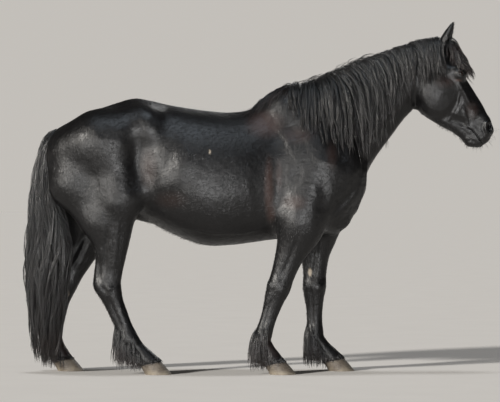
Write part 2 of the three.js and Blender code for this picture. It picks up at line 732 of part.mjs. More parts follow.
// ---------- assembly ----------
const coat = { color: 0x1b1918, roughness: 0.5, metalness: 0 };
const longHair = { color: 0x0f0e0e, roughness: 0.6, metalness: 0 };
const horn = { color: 0x4a443c, roughness: 0.6, metalness: 0 };
const gloss = { color: 0x140c08, roughness: 0.08, metalness: 0 };
const group = new THREE.Group();

function toGeometry(shape) {
  const mesh = shape.getMesh();
  const geometry = new THREE.BufferGeometry();
  geometry.setAttribute('position', new THREE.Float32BufferAttribute(mesh.vertProperties, 3));
  geometry.setIndex([...mesh.triVerts]);
  return geometry;
}
const largest = (shape) =>
  shape.decompose().reduce((best, piece) => (piece.volume() > best.volume() ? piece : best));

// What is left of a shape once others are cut away one by one: its largest piece.
const without = (shape, others) => others.reduce((left, other) => largest(left.subtract(other)), shape);

// Slivers that a cut leaves are merged away before a part is added.
function addPart(name, shape, look) {
  const geometry = toGeometry(largest(toManifold(toGeometry(shape))));
  geometry.computeVertexNormals();
  const part = new THREE.Mesh(geometry, new THREE.MeshStandardMaterial(look));
  part.name = name;
  group.add(part);
}
const ball = (r, place) => toManifold(new THREE.SphereGeometry(r, 12, 8).translate(...place));

const flesh = trunkRegions();
const room = trunkRegions(HAIR_ROOM);
const headRoom = castSlices(headSlices(), 24, { lift: CLEARANCE, dome: true });

for (const [name, side] of Object.entries(SIDES)) {
  const eye = sided(EYE, side);
  const lip = LIP_LINE.map((p) => skinPoint(p, side));
  const nostril = NOSTRIL.map((p) => skinPoint(p, side, -1));
  flesh.head = without(flesh.head, [
    ball(EYE_RADIUS + CLEARANCE / 2, eye),
    tube(lip, [1.5, 4, 4, 4, 4], 4),
    tube(nostril, [3, 8, 9, 4], 5),
  ]);
  addPart(`eye_${name}`, ball(EYE_RADIUS, eye), gloss);
  addPart(`ear_${name}`, without(ear(side), [headRoom]), coat);

  for (const [end, top, names] of [
    ['fore', FORE_CUT, ['forearm', 'knee_cannon', 'fore_pastern']],
    ['hind', HIND_CUT, ['gaskin', 'hock_cannon', 'hind_pastern']],
  ]) {
    const limb = limbs[`${end}_${name}`];
    const cannonRoom = limbRegions(name, limb, top, names, HAIR_ROOM)[`${names[1]}_${name}`];
    const hair = without(feather(limb, featherShift[`${end}_${name}`]), [cannonRoom, hoof(limb, HAIR_ROOM)]);
    Object.assign(flesh, limbRegions(name, limb, top, names));
    flesh[`${names[2]}_${name}`] = flesh[`${names[2]}_${name}`].add(hair);
    addPart(`${end}_hoof_${name}`, hoof(limb), horn);
  }
}
for (const [name, shape] of Object.entries(flesh)) addPart(name, shape, coat);

const rump = room.hindquarters.add(room.thigh_left).add(room.thigh_right);
addPart('mane', maneSolid(), longHair);
addPart('forelock', forelockSolid(), longHair);
addPart('tail', without(hairSolid(tailStations, TAIL_Y, 12, 12), [rump]), longHair);

export default group;
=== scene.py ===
"""A black horse of a heavy riding type, standing: a still, life-size model.

One skin stands for the nodes of flesh. It is the surface of an implicit form, worked out in millimetres
from the same outlines and muscle masses as the solids, with the finer forms of the head and legs added. Long
hair is solid locks rooted on that skin. +X runs from tail to muzzle, +Y to the horse's left and +Z up.
"""
import math

import bpy
import numpy as np
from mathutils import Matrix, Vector
from mathutils.kdtree import KDTree


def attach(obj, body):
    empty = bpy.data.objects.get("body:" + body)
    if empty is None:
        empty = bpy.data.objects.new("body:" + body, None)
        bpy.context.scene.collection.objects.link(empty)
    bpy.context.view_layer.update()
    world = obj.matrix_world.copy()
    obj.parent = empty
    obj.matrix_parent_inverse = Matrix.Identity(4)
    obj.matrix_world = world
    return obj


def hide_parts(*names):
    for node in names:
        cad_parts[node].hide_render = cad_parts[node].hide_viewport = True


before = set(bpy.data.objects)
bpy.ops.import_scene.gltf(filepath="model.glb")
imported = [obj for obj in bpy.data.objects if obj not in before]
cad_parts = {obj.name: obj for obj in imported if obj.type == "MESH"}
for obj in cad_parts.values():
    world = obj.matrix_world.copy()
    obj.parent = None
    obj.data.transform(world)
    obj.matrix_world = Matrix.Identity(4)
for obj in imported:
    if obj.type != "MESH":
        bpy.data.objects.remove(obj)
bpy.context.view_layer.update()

MM = 0.001
SIDES = {"left": 1, "right": -1}
COAT_DEPTH = 2.5    # how far the skin lies inside the solids
EYE = (1096, 84, 1638)
EYE_RADIUS = 21
EAR_ROOT = (1002, 46, 1768)
EAR_TIP = (1060, 62, 1922)
CORONET = (78, 48)  # height of the hoof's upper edge at the toe and at the heel
RIM = 56            # half the length of that edge
TOE_RUN = 64
HEEL_RUN = 30
HOOF_WIDTH = 134
CORONET_DROP = (CORONET[0] - CORONET[1]) / 130
HOOF_HALF = (2 * RIM + TOE_RUN - HEEL_RUN) / 2  # half its length on the ground
RIM_WIDE = 59       # half the width of the upper edge

# ---------- landmarks of the limbs on their centre lines: (x, y, z), y for a left limb ----------
FORE = {
    "right": [(232, 165, 830), (99, 152, 462), (14, 148, 190), (80, 148, 64)],
    "left": [(322, 165, 830), (305, 150, 460), (310, 146, 188), (408, 146, 64)],
}
HIND = {
    "right": [(-800, 165, 930), (-826, 142, 480), (-708, 150, 192), (-598, 152, 64)],
    "left": [(-868, 165, 930), (-1084, 142, 480), (-1146, 148, 192), (-1094, 150, 64)],
}
HIP = (-880, 128, 1230)
BUTTOCK = (-1022, 86, 1200)

# ---------- outline stations ----------
# (top x, top z, bottom x, bottom z, half width, level of the widest point, fullness above it, fullness below)
TRUNK = [
    (566, 1160, 512, 900, 80, 0.5, 2.0, 2.0),
    (538, 1290, 456, 836, 140, 0.5, 2.0, 2.2),
    (450, 1420, 400, 784, 176, 0.48, 1.9, 2.2),
    (330, 1520, 310, 746, 198, 0.45, 1.8, 2.2),
    (180, 1556, 190, 736, 210, 0.42, 1.6, 2.2),
    (70, 1518, 80, 730, 230, 0.42, 1.65, 2.2),
    (-40, 1452, -30, 715, 260, 0.43, 1.9, 2.1),
    (-150, 1432, -160, 699, 284, 0.42, 2.1, 2.1),
    (-270, 1438, -290, 697, 296, 0.42, 2.2, 2.1),
    (-390, 1454, -410, 732, 292, 0.43, 2.2, 2.1),
    (-500, 1473, -520, 782, 268, 0.46, 2.2, 2.1),
    (-600, 1496, -620, 836, 240, 0.5, 2.2, 2.0),
    (-690, 1508, -710, 890, 214, 0.55, 2.2, 2.0),
    (-790, 1482, -800, 920, 200, 0.55, 2.0, 2.0),
    (-890, 1446, -890, 950, 184, 0.55, 1.9, 2.0),
    (-980, 1406, -970, 1010, 146, 0.55, 1.9, 2.0),
    (-1050, 1371, -1035, 1090, 98, 0.55, 2.0, 2.0),
    (-1098, 1342, -1080, 1210, 44, 0.5, 2.0, 2.0),
]
NECK = [
    (20, 1480, 470, 930, 175, 0.42, 1.7, 2.1),
    (130, 1542, 560, 1040, 158, 0.42, 1.6, 2.1),
    (250, 1590, 600, 1115, 138, 0.42, 1.5, 2.1),
    (350, 1635, 640, 1182, 122, 0.42, 1.45, 2.1),
    (460, 1685, 686, 1246, 108, 0.42, 1.4, 2.1),
    (570, 1728, 734, 1310, 97, 0.42, 1.4, 2.1),
    (680, 1765, 784, 1376, 90, 0.42, 1.4, 2.1),
    (790, 1800, 832, 1432, 85, 0.44, 1.5, 2.1),
    (880, 1825, 868, 1490, 80, 0.5, 1.7, 2.0),
    (960, 1830, 905, 1590, 70, 0.55, 2.0, 2.0),
]
HEAD = [
    (962, 1834, 852, 1446, 74, 0.55, 2.0, 2.0),
    (1012, 1810, 872, 1436, 87, 0.6, 2.2, 2.2),
    (1062, 1750, 890, 1416, 94, 0.64, 2.4, 2.3),
    (1100, 1682, 914, 1400, 97, 0.66, 2.5, 2.3),
    (1132, 1626, 950, 1380, 90, 0.66, 2.5, 2.3),
    (1163, 1575, 1005, 1348, 78, 0.63, 2.5, 2.3),
    (1195, 1522, 1052, 1324, 65, 0.6, 2.4, 2.2),
    (1226, 1470, 1094, 1294, 56, 0.58, 2.3, 2.2),
    (1251, 1422, 1130, 1262, 53, 0.56, 2.3, 2.2),
    (1266, 1370, 1166, 1246, 55, 0.55, 2.4, 2.2),
    (1268, 1322, 1194, 1242, 50, 0.52, 2.4, 2.2),
    (1256, 1284, 1218, 1242, 36, 0.5, 2.2, 2.0),
]
TAIL = [(*row, 0.5, 2, 2) for row in (
    (-1072, 1356, -1058, 1292, 30), (-1128, 1342, -1098, 1266, 36), (-1182, 1286, -1122, 1220, 42),
    (-1220, 1180, -1136, 1150, 52), (-1248, 1030, -1130, 1010, 66), (-1270, 850, -1060, 840, 80),
    (-1286, 670, -1020, 670, 88), (-1288, 510, -1036, 510, 86), (-1272, 320, -1066, 320, 76),
    (-1250, 150, -1090, 150, 58), (-1236, 48, -1108, 48, 34),
)]
TAIL_Y = -20
# Limb profiles: (place, front radius, back radius, half width). Place 0 is the elbow or stifle, 1 the knee or
# hock, 2 the fetlock and 3 the coronet. The rows before 0 fade the leg into the flesh above it.
FORE_PROFILE = [
    (-0.8, 50, 50, 34), (-0.55, 84, 80, 54), (-0.3, 100, 96, 66), (0, 112, 106, 76), (0.3, 104, 98, 72),
    (0.55, 76, 80, 58), (0.8, 66, 67, 50),
    (1, 68, 64, 55), (1.16, 58, 60, 47), (1.4, 48, 50, 38), (1.7, 44, 47, 36), (1.9, 49, 52, 42),
    (2, 51, 54, 45), (2.4, 42, 42, 40), (2.75, 50, 44, 50), (3.1, 57, 48, 58), (3.5, 60, 50, 60),
]
HIND_PROFILE = [
    (-0.6, 60, 70, 30), (-0.3, 102, 110, 60), (0, 128, 130, 80), (0.25, 122, 150, 78), (0.45, 108, 106, 69),
    (0.67, 90, 78, 56), (0.85, 77, 80, 48),
    (1, 75, 79, 53), (1.15, 64, 66, 50), (1.32, 52, 58, 42), (1.55, 48, 54, 38), (1.8, 46, 50, 38),
    (1.92, 50, 54, 43), (2, 52, 56, 46), (2.4, 43, 43, 41), (2.75, 50, 45, 50), (3.1, 57, 48, 58),
    (3.5, 60, 50, 60),
]


# ---------- the implicit form ----------
FAR = 1e4
BOX_REACH = 160  # how far round its outline a loft is looked for
END_REACH = 200  # and how far past its end sections
NEARBY = 0.12    # the places whose line gives a limb's direction are this far to either side
LIMB_FULL = 2.1  # fullness of a limb's sections


def mix(p, q, t):
    return tuple(a + (b - a) * t for a, b in zip(p, q))


def mirrored(place, side):
    """A place given for the left, on the side that is asked for."""
    return place[0], place[1] * side, place[2]


def ramp(value, low, high):
    """How far a value has come from one limit to the other, from 0 to 1."""
    return np.clip((value - low) / (high - low), 0, 1)


def dome(away, width):
    """1 in the middle, and 0 from the given width on."""
    return np.clip(1 - (away / width) ** 2, 0, 1)


def unit(v):
    return v / np.maximum(np.linalg.norm(v, axis=-1, keepdims=True), 1e-9)


def blend(a, b, width):
    """Union of two distances with a fillet of about the given width."""
    h = np.maximum(width - np.abs(a - b), 0) / width
    return np.minimum(a, b) - h * h * width / 4


def carve(a, b, width):
    """The first form without the second, with a soft edge."""
    return -blend(-a, b, width)


class Loft:
    """Planar sections whose planes all run along Y. A row is the centre (3), the upward direction (2), the
    height above and below the centre, half the width, and the fullness above and below."""

    def __init__(self, rows):
        self.rows = np.array(rows, float)
        c, u = self.rows[:, [0, 2]], self.rows[:, 3:5]
        last = len(c) - 1
        step = c[np.minimum(np.arange(last + 1) + 1, last)] - c[np.maximum(np.arange(last + 1) - 1, 0)]
        forward = np.sign(u[:, 0] * step[:, 1] - u[:, 1] * step[:, 0])[:, None]
        self.normal = np.stack([-u[:, 1], u[:, 0]], 1) * forward
        self.at = np.concatenate([[0], np.cumsum(np.hypot(*np.diff(c, axis=0).T))])
        secant = np.diff(self.rows, axis=0) / np.diff(self.at)[:, None]
        share = (np.diff(self.at)[1:] / (self.at[2:] - self.at[:-2]))[:, None]
        inner = share * secant[:-1] + (1 - share) * secant[1:]
        self.slopes = np.concatenate([secant[:1], inner, secant[-1:]])
        edges = np.concatenate([c + u * self.rows[:, 5:6], c - u * self.rows[:, 6:7]])
        self.low, self.high = edges.min(0) - BOX_REACH, edges.max(0) + BOX_REACH

    def between(self, i, t):
        """The row at share t of the way from section i to the next, as columns."""
        t = np.asarray(t, float)[..., None]
        span = (self.at[i + 1] - self.at[i])[..., None] if np.ndim(i) else self.at[i + 1] - self.at[i]
        t2, t3 = t * t, t * t * t
        ease = 3 * t2 - 2 * t3
        bend = self.slopes[i] * (t3 - 2 * t2 + t) + self.slopes[i + 1] * (t3 - t2)
        return self.rows[i] + (self.rows[i + 1] - self.rows[i]) * ease + span * bend

    def distance(self, p):
        out = np.full(len(p), FAR)
        inside = ((p[:, [0, 2]] > self.low) & (p[:, [0, 2]] < self.high)).all(1)
        if not inside.any():
            return out
        q = p[inside]
        c, n = self.rows[:, [0, 2]], self.normal
        planes = q[:, [0, 2]] @ n.T - (c * n).sum(1)
        best = np.full(len(q), FAR)
        first, last = planes[:, 0], planes[:, -1]
        m = (first < 0) & (first > -END_REACH)
        best[m] = np.maximum(section_distance(self.rows[0], q[m]), -first[m])
        for i in range(len(c) - 1):
            d0, d1 = planes[:, i], planes[:, i + 1]
            m = (d0 >= 0) & (d1 < 0)
            if m.any():
                row = self.between(i, d0[m] / (d0[m] - d1[m]))
                best[m] = np.minimum(best[m], section_distance(row, q[m]))
        m = (last >= 0) & (last < END_REACH)
        best[m] = np.minimum(best[m], np.maximum(section_distance(self.rows[-1], q[m]), last[m]))
        out[inside] = best
        return out


def section_distance(row, p):
    """About how far points lie outside the section with this row, within its plane."""
    cx, cy, cz, ux, uz, up, down, w, nu, nd = np.moveaxis(row, -1, 0)
    u = (p[:, 0] - cx) * ux + (p[:, 2] - cz) * uz
    h = np.where(u >= 0, up, down)
    n = np.where(u >= 0, nu, nd)
    a, b = np.abs(u) / h, np.abs(p[:, 1] - cy) / w
    r = np.maximum((a**n + b**n) ** (1 / n), 1e-6)
    return (r - 1) / np.maximum(np.hypot((a / r) ** (n - 1) / h, (b / r) ** (n - 1) / w), 1e-5)


def outline_loft(stations, y=0):
    """A part of the body from its outline stations."""
    rows = []
    for tx, tz, bx, bz, w, level, nu, nd in stations:
        height = math.hypot(tx - bx, tz - bz)
        cx, cz = mix((bx, bz), (tx, tz), level)
        rows.append((cx, y, cz, (tx - bx) / height, (tz - bz) / height,
                     height * (1 - level), height * level, w, nu, nd))
    return Loft(rows)


def limb_at(points, t):
    """A place on a limb's centre line."""
    i = min(max(math.floor(t), 0), len(points) - 2)
    return mix(points[i], points[i + 1], t - i)


def limb_frame(points, t):
    """A place on a limb's centre line, and the way to its front in the side view: x, z and their length."""
    p, q = limb_at(points, t - NEARBY), limb_at(points, t + NEARBY)
    return limb_at(points, t), p[2] - q[2], q[0] - p[0], math.hypot(q[0] - p[0], q[2] - p[2])


def limb_loft(points, profile, side):
    """A limb on one side, from its centre line and its profile."""
    rows = []
    for t, front, back, w in profile:
        place, ahead_x, ahead_z, d = limb_frame(points, t)
        way = (ahead_x / d, ahead_z / d)
        rows.append((*mirrored(place, side), *way, front, back, w, LIMB_FULL, LIMB_FULL))
    return Loft(rows)


class Mass:
    """A tapered capsule from a to b, flattened sideways, that blends into what it lies on."""

    def __init__(self, a, b, ra, rb, flat=1, fillet=30):
        self.a, self.b = np.array(a, float), np.array(b, float)
        self.ra, self.rb, self.flat, self.fillet = ra, rb, flat, fillet
        r = max(ra, rb) + fillet
        self.low, self.high = np.minimum(self.a, self.b) - r, np.maximum(self.a, self.b) + r

    def near(self, p):
        return ((p > self.low) & (p < self.high)).all(1)

    def distance(self, p):
        d = self.b - self.a
        length = d @ d
        t = np.clip((p - self.a) @ d / length, 0, 1) if length else np.zeros(len(p))
        q = p - self.a - t[:, None] * d
        q[:, 1] /= self.flat
        r = np.maximum(np.sqrt((q**2).sum(1)), 1e-6)
        slope = np.sqrt(q[:, 0] ** 2 + (q[:, 1] / self.flat) ** 2 + q[:, 2] ** 2)
        return (r - self.ra - (self.rb - self.ra) * t) * r / np.maximum(slope, 1e-6)


def side_masses(name, side):
    """The muscles and bones that show on one side of the horse."""
    stifle, hock = HIND[name][0], HIND[name][1]
    elbow, knee = FORE[name][0], FORE[name][1]
    gaskin = mix(stifle, hock, 0.3)
    kneecap = (stifle[0] + 62, stifle[1] + 8, stifle[2] + 45)
    breech = (-1030 + (gaskin[0] - 160 + 1030) * 0.25, 118, 1030)

    def mass(a, b, *sizes):
        return Mass(mirrored(a, side), mirrored(b, side), *sizes)

    return [
        # haunch, thigh and fold of the flank
        mass((-636, 162, 1362), (-860, 150, 1268), 68, 116, 0.85, 120),
        mass((-880, 112, 1270), BUTTOCK, 126, 116, 0.88, 110),
        mass(HIP, kneecap, 160, 88, 0.74, 110),
        mass(BUTTOCK, breech, 116, 112, 0.8, 90),
        mass(breech, (gaskin[0] - 88, 146, gaskin[2] + 50), 110, 76, 0.75, 100),
        mass((-620, 118, 1110), kneecap, 52, 60, 0.7, 110),
        # shoulder, upper arm and breast
        mass((160, 78, 1450), (420, 124, 1110), 70, 104, 0.6, 120),
        mass((430, 122, 1085), mix(elbow, knee, -0.02), 98, 96, 0.72, 110),
        mass((250, 138, 1120), (200, 164, 910), 136, 84, 0.52, 110),
        mass((470, 62, 1010), (425, 72, 860), 88, 78, 0.8, 90),
        # brow, cheek, cheekbone, nostril and root of the ear
        mass((1070, 68, 1656), (1102, 72, 1632), 35, 33, 0.9, 34),
        mass((935, 50, 1590), (958, 48, 1482), 84, 74, 0.46, 50),
        mass((1108, 66, 1566), (1156, 48, 1484), 15, 12, 1, 34),
        mass((1236, 28, 1380), (1246, 25, 1330), 31, 29, 0.85, 34),
        mass((996, 40, 1776), (1010, 46, 1800), 32, 26, 0.85, 30),
    ]


trunk, neck, head = outline_loft(TRUNK), outline_loft(NECK), outline_loft(HEAD)
limbs = {}
masses = [
    Mass((1160, 0, 1274), (1198, 0, 1265), 34, 26, 1.25, 26),  # chin
    Mass((1236, 0, 1292), (1250, 0, 1330), 30, 38, 1.2, 30),   # upper lip
    Mass((-676, 0, 878), (-626, 0, 864), 40, 32, 0.9, 44),     # sheath
]
for name, side in SIDES.items():
    limbs[f"fore_{name}"] = limb_loft(FORE[name], FORE_PROFILE, side)
    limbs[f"hind_{name}"] = limb_loft(HIND[name], HIND_PROFILE, side)
    masses += side_masses(name, side)


def body(p):
    """The field of the solids: below zero inside them."""
    d = blend(trunk.distance(p), neck.distance(p), 60)
    d = blend(d, head.distance(p), 36)
    for limb in limbs.values():
        d = blend(d, limb.distance(p), 50)
    for m in masses:
        near = m.near(p)
        if near.any():
            d[near] = blend(d[near], m.distance(p[near]), m.fillet)
    return d


def rim_of(limb):
    """The middle of the upper edge of a limb's hoof."""
    z = (CORONET[0] + CORONET[1]) / 2
    rows = limb.rows
    i = int(np.argmax(rows[:, 2] <= z)) - 1
    t = (rows[i, 2] - z) / (rows[i, 2] - rows[i + 1, 2])
    return rows[i, :3] + (rows[i + 1, :3] - rows[i, :3]) * t


rims = {name: rim_of(limb) for name, limb in limbs.items()}
EAR_ROWS = [(0, 34, 29), (0.25, 35, 31), (0.5, 31, 28), (0.75, 20, 18), (1, 4, 4)]


def leaf(p, side, scale, shift):
    """An ear's leaf shape: level ellipses from its root to its tip."""
    root, tip = np.array(EAR_ROOT, float), np.array(EAR_TIP, float)
    t = (p[:, 2] - root[2]) / (tip[2] - root[2])
    rows = np.array(EAR_ROWS)
    inside = np.clip(t, 0, 1)
    long, wide = (np.interp(inside, rows[:, 0], rows[:, k]) * scale for k in (1, 2))
    x = p[:, 0] - root[0] - (tip[0] - root[0]) * inside - shift[0]
    y = p[:, 1] * side - root[1] - (tip[1] - root[1]) * inside - shift[1]
    r = np.maximum(np.hypot(x / long, y / wide), 1e-6)
    d = (r - 1) * r / np.maximum(np.hypot(x / long**2, y / wide**2), 1e-6)
    return np.maximum(d, np.maximum(t - 1, -0.2 - t) * (tip[2] - root[2]))


# ---------- finer forms, drawn on the form as seen from the side ----------
class Stroke:
    """A soft hollow, or a ridge where its depth is below zero, along a line of (x, z) points."""

    def __init__(self, points, width, depth, side=0, fade=3.5):
        self.points, self.width, self.depth = np.array(points, float), width, depth
        self.side, self.fade = side, fade
        self.low, self.high = self.points.min(0) - width, self.points.max(0) + width

    def share(self, q):
        """How strongly it reaches points of the side view. It fades towards its ends."""
        if len(self.points) == 1:
            away, fade = np.hypot(*(q - self.points[0]).T), 1
        else:
            away, fade = np.full(len(q), FAR), np.ones(len(q))
            last = len(self.points) - 1
            for i, (a, b) in enumerate(zip(self.points[:-1], self.points[1:])):
                d = b - a
                t = np.clip((q - a) @ d / (d @ d), 0, 1)
                far = np.hypot(*(q - a - t[:, None] * d).T)
                ends = np.clip(self.fade * np.minimum(i + t, last - i - t) / last + 0.3, 0, 1)
                fade = np.where(far < away, ends, fade)
                away = np.minimum(away, far)
        return fade * dome(away, self.width) ** 2

    def change(self, d, p):
        q = p[:, [0, 2]]
        reached = ((q > self.low) & (q < self.high)).all(1)
        if self.side:
            reached &= p[:, 1] * self.side > 0
        reached = np.flatnonzero(reached)
        if len(reached):
            d[reached] += self.depth * self.share(q[reached])


LIP_LINE = [(1136, 1344), (1160, 1337), (1186, 1311), (1214, 1266), (1228, 1252)]
BODY_STROKES = [
    # shoulder: groove and fold behind the upper arm, blade, point of the shoulder
    ([(120, 1180), (104, 1060), (110, 950), (140, 870)], 64, 6),
    ([(2, 1230), (-8, 1060), (6, 930), (34, 830)], 60, 3),
    ([(250, 1440), (390, 1290), (470, 1170), (500, 1090)], 74, 6),
    ([(180, 1420), (330, 1230), (400, 1120)], 80, -5),
    ([(338, 1060), (348, 960), (326, 870)], 50, 6),
    ([(190, 1380), (240, 1290)], 90, 8),
    # breast and the groove under the neck
    ([(560, 1010), (480, 910), (410, 850)], 34, -7),
    ([(540, 1090), (480, 975), (400, 905)], 36, 8),
    ([(560, 1150), (600, 1230), (680, 1330), (760, 1410), (812, 1476)], 48, 9),
    ([(800, 1430), (838, 1530)], 24, 5),
    ([(826, 1470), (862, 1556), (880, 1640)], 34, 6),
    ([(604, 1290), (640, 1350)], 24, 4),
    # flank: hollow, cord and the fold to the stifle
    ([(-612, 1290), (-616, 1150), (-618, 1040)], 96, 7),
    ([(-668, 1380), (-658, 1200), (-668, 1060), (-690, 940)], 66, 4),
    ([(-690, 960), (-560, 990), (-460, 1070), (-350, 1230)], 86, -7),
    ([(-540, 905), (-400, 985)], 100, 5),
    # croup and thigh
    ([(-770, 1400), (-745, 1200), (-740, 1000)], 84, -7),
    ([(-605, 1430), (-565, 1250)], 84, -4),
    ([(-900, 1330), (-890, 1160), (-870, 1040)], 90, 5),
    ([(-820, 940), (-760, 905)], 50, -4),
    # vein along the belly
    ([(40, 800), (-90, 768), (-250, 766), (-420, 796)], 11, -2.5),
]
HEAD_STROKES = [
    # cheek and the bar of the jaw
    ([(862, 1540), (870, 1480), (915, 1424), (985, 1400), (1045, 1426), (1088, 1491), (1102, 1552)], 34, 7),
    ([(965, 1540)], 116, -7),
    ([(1030, 1404), (1085, 1385), (1138, 1364)], 32, 9),
    ([(1000, 1372), (1070, 1340), (1132, 1294)], 24, -4),
    # cheekbone, nasal bone, temple and the vein in front of the cheek
    ([(1082, 1596), (1126, 1524), (1158, 1456)], 20, -6),
    ([(1128, 1580), (1160, 1500)], 22, 4),
    ([(1150, 1640), (1206, 1520), (1244, 1430)], 22, -3),
    ([(1044, 1704)], 40, 9),
    ([(1102, 1556), (1080, 1466), (1040, 1388)], 9, -2),
    # muzzle, lips and chin
    ([(1186, 1456), (1198, 1392)], 48, -4),
    ([(1116, 1450), (1128, 1398), (1142, 1350)], 18, -4),
    ([(1150, 1352), (1182, 1336), (1206, 1300), (1230, 1268)], 20, -1.5),
    ([(1136, 1326), (1166, 1314), (1192, 1276), (1206, 1256)], 20, -1.5),
    ([(1122, 1262), (1156, 1276), (1192, 1264)], 14, 3),
    # rim of the nostril
    ([(1244, 1312), (1236, 1345), (1244, 1372), (1266, 1378)], 12, -5),
    ([(1224, 1372), (1220, 1338), (1234, 1304)], 12, 3),
]
# Strokes of a limb: ([(place, how far in front of its centre line)], width, depth)
FORE_STROKES = [
    ([(0.2, 6), (0.55, 2), (0.86, -8)], 18, 6),
    ([(0.92, -50), (1.03, -52)], 20, -6),
    ([(0.93, 26), (1.07, 28)], 34, -4),
    ([(1, -20), (1.1, -22)], 14, 4),
    ([(1.14, -14), (1.5, -13), (1.86, -12)], 11, 6),
    ([(1.25, -28), (1.86, -28)], 6, 2),
    ([(1.97, -32)], 22, -5),
    ([(2.2, -16), (2.7, -12)], 12, 4),
]
HIND_STROKES = [
    ([(0.28, -12), (0.6, -18), (0.84, -24)], 22, 8),
    ([(0.66, -50), (0.92, -46)], 20, 9),
    ([(0.15, 40), (0.5, 36), (0.85, 26)], 20, -4),
    ([(1, 12), (1.09, 4)], 28, -5),
    ([(0.95, -60), (1.12, -48)], 20, -5),
    ([(1, -24), (1.08, -22)], 13, 4),
    ([(1.18, -18), (1.5, -15), (1.86, -13)], 11, 6),
    ([(1.25, -30), (1.86, -29)], 6, 2),
    ([(1.97, -32)], 22, -5),
    ([(2.2, -16), (2.7, -12)], 12, 4),
]


def limb_strokes(points, rows, side):
    """The strokes of one limb, as places in the side view."""
    def spot(t, ahead):
        (x, _, z), ahead_x, ahead_z, d = limb_frame(points, t)
        return x + ahead * ahead_x / d, z + ahead * ahead_z / d

    return [Stroke([spot(*place) for place in line], width, depth, side) for line, width, depth in rows]


strokes = [Stroke(*row) for row in BODY_STROKES + HEAD_STROKES]
strokes.append(Stroke(LIP_LINE, 5, 5.5, fade=5))
for name, side in SIDES.items():
    strokes += limb_strokes(FORE[name], FORE_STROKES, side) + limb_strokes(HIND[name], HIND_STROKES, side)
nostrils = [
    part
    for side in SIDES.values()
    for part in (
        Mass((1266, 38 * side, 1366), (1252, 48 * side, 1320), 8, 5, 1, 8),
        Mass((1268, 52 * side, 1350), (1226, 20 * side, 1362), 13, 10, 1, 8),
        Mass((1262, 50 * side, 1336), (1236, 26 * side, 1346), 10, 8, 1, 8),
    )
]

# The opening of the eye, in the plane of its lids: how it lies, and half its length and its heights
EYE_OUT = unit(np.array([0.24, 0.95, 0.14]))
EYE_LONG = unit(np.cross([0.52, 0.0, 0.85], EYE_OUT))
EYE_HIGH = np.cross(EYE_OUT, EYE_LONG)
LID = 4.2           # thickness of the lids
LID_OPEN = (19, 11, 8)


def eye_places(p, side):
    """Points in the eye's own directions: along its opening, up across it and out of the head."""
    q = (p - mirrored(EYE, side)) * (1, side, 1)
    return q @ EYE_LONG, q @ EYE_HIGH, q @ EYE_OUT


def with_lids(d, p, side):
    """The head with lids over the eye, and room for the eye behind them."""
    long, high, out = eye_places(p, side)
    r = np.sqrt(long**2 + high**2 + out**2)
    d = blend(d, r - EYE_RADIUS - LID, 18)
    reach = np.clip(1 - (long / LID_OPEN[0]) ** 2, -1, 1)
    upper, lower = LID_OPEN[1] * reach, -LID_OPEN[2] * reach
    crease = dome(high - upper - 9, 4) + 0.7 * dome(high - lower + 8, 3.5)
    d = d + 1.8 * crease * dome(long, 27) * (out > 0)
    slit = np.maximum(np.maximum(high - upper, lower - high), -out)
    d = carve(d, slit, 3)
    return np.maximum(d, EYE_RADIUS + 0.3 - r)


def skin(p):
    """The skin's own field."""
    d = body(p) + COAT_DEPTH
    for stroke in strokes:
        stroke.change(d, p)
    # the legs end just inside the hooves
    for x, y, z in rims.values():
        near = (np.abs(p[:, 0] - x) < 160) & (np.abs(p[:, 1] - y) < 110) & (p[:, 2] < 130)
        q = p[near]
        d[near] = np.maximum(d[near], z + CORONET_DROP * (q[:, 0] - x) - q[:, 2] - 8)
    for side in SIDES.values():
        near = (p[:, 0] > 930) & (p[:, 2] > 1700) & (p[:, 1] * side > -20)
        q = p[near]
        if len(q):
            ear = np.maximum(leaf(q, side, 1, (0, 0)), -leaf(q, side, 0.8, (16, 8)))
            d[near] = blend(d[near], ear, 10)
        near = (np.abs(p - mirrored(EYE, side)) < 70).all(1)
        if near.any():
            d[near] = with_lids(d[near], p[near], side)
    for hole in nostrils:
        near = hole.near(p)
        if near.any():
            d[near] = carve(d[near], hole.distance(p[near]), hole.fillet)
    return d


# ---------- the skin's mesh ----------
VOXEL = 8.0         # cell of the body's grid
FINE = 3            # the head's cells are this many times smaller
SPLIT = 880.0       # the head's grid starts at this x
BLOCK = 4           # cells in a block that is worked out or passed over as one
GRID_LOW = np.array([-1232.0, -324.0, 28.0])
GRID_WIDE, GRID_HIGH = 81, 238   # its cells across and upwards
HEAD_INSET = 21     # cells of the body's grid beside the head's, on either side
HEAD_FLOOR = 147    # and below it
HEAD_LONG = 160     # the head's cells lengthwise


def grid_values(field, low, cells, step):
    """The field at the corners of a grid, worked out only in blocks near the surface."""
    blocks = [-(-(c + 1) // BLOCK) for c in cells]
    at = np.stack(np.meshgrid(*[np.arange(b) for b in blocks], indexing="ij"), -1).reshape(-1, 3)
    size = BLOCK * step
    middle = field(low + (at + 0.5) * size)
    values = np.repeat(np.where(middle < 0, -1.0, 1.0).astype(np.float32)[:, None], BLOCK**3, 1)
    near = np.abs(middle) < size * 1.5 + 6
    offsets = np.stack(np.meshgrid(*[np.arange(BLOCK)] * 3, indexing="ij"), -1).reshape(-1, 3)
    corners = (at[near][:, None] * BLOCK + offsets).reshape(-1, 3)
    values[near] = field(low + corners * step).reshape(-1, BLOCK**3)
    values = values.reshape(*blocks, BLOCK, BLOCK, BLOCK).transpose(0, 3, 1, 4, 2, 5)
    values = values.reshape([b * BLOCK for b in blocks])
    return values[: cells[0] + 1, : cells[1] + 1, : cells[2] + 1]


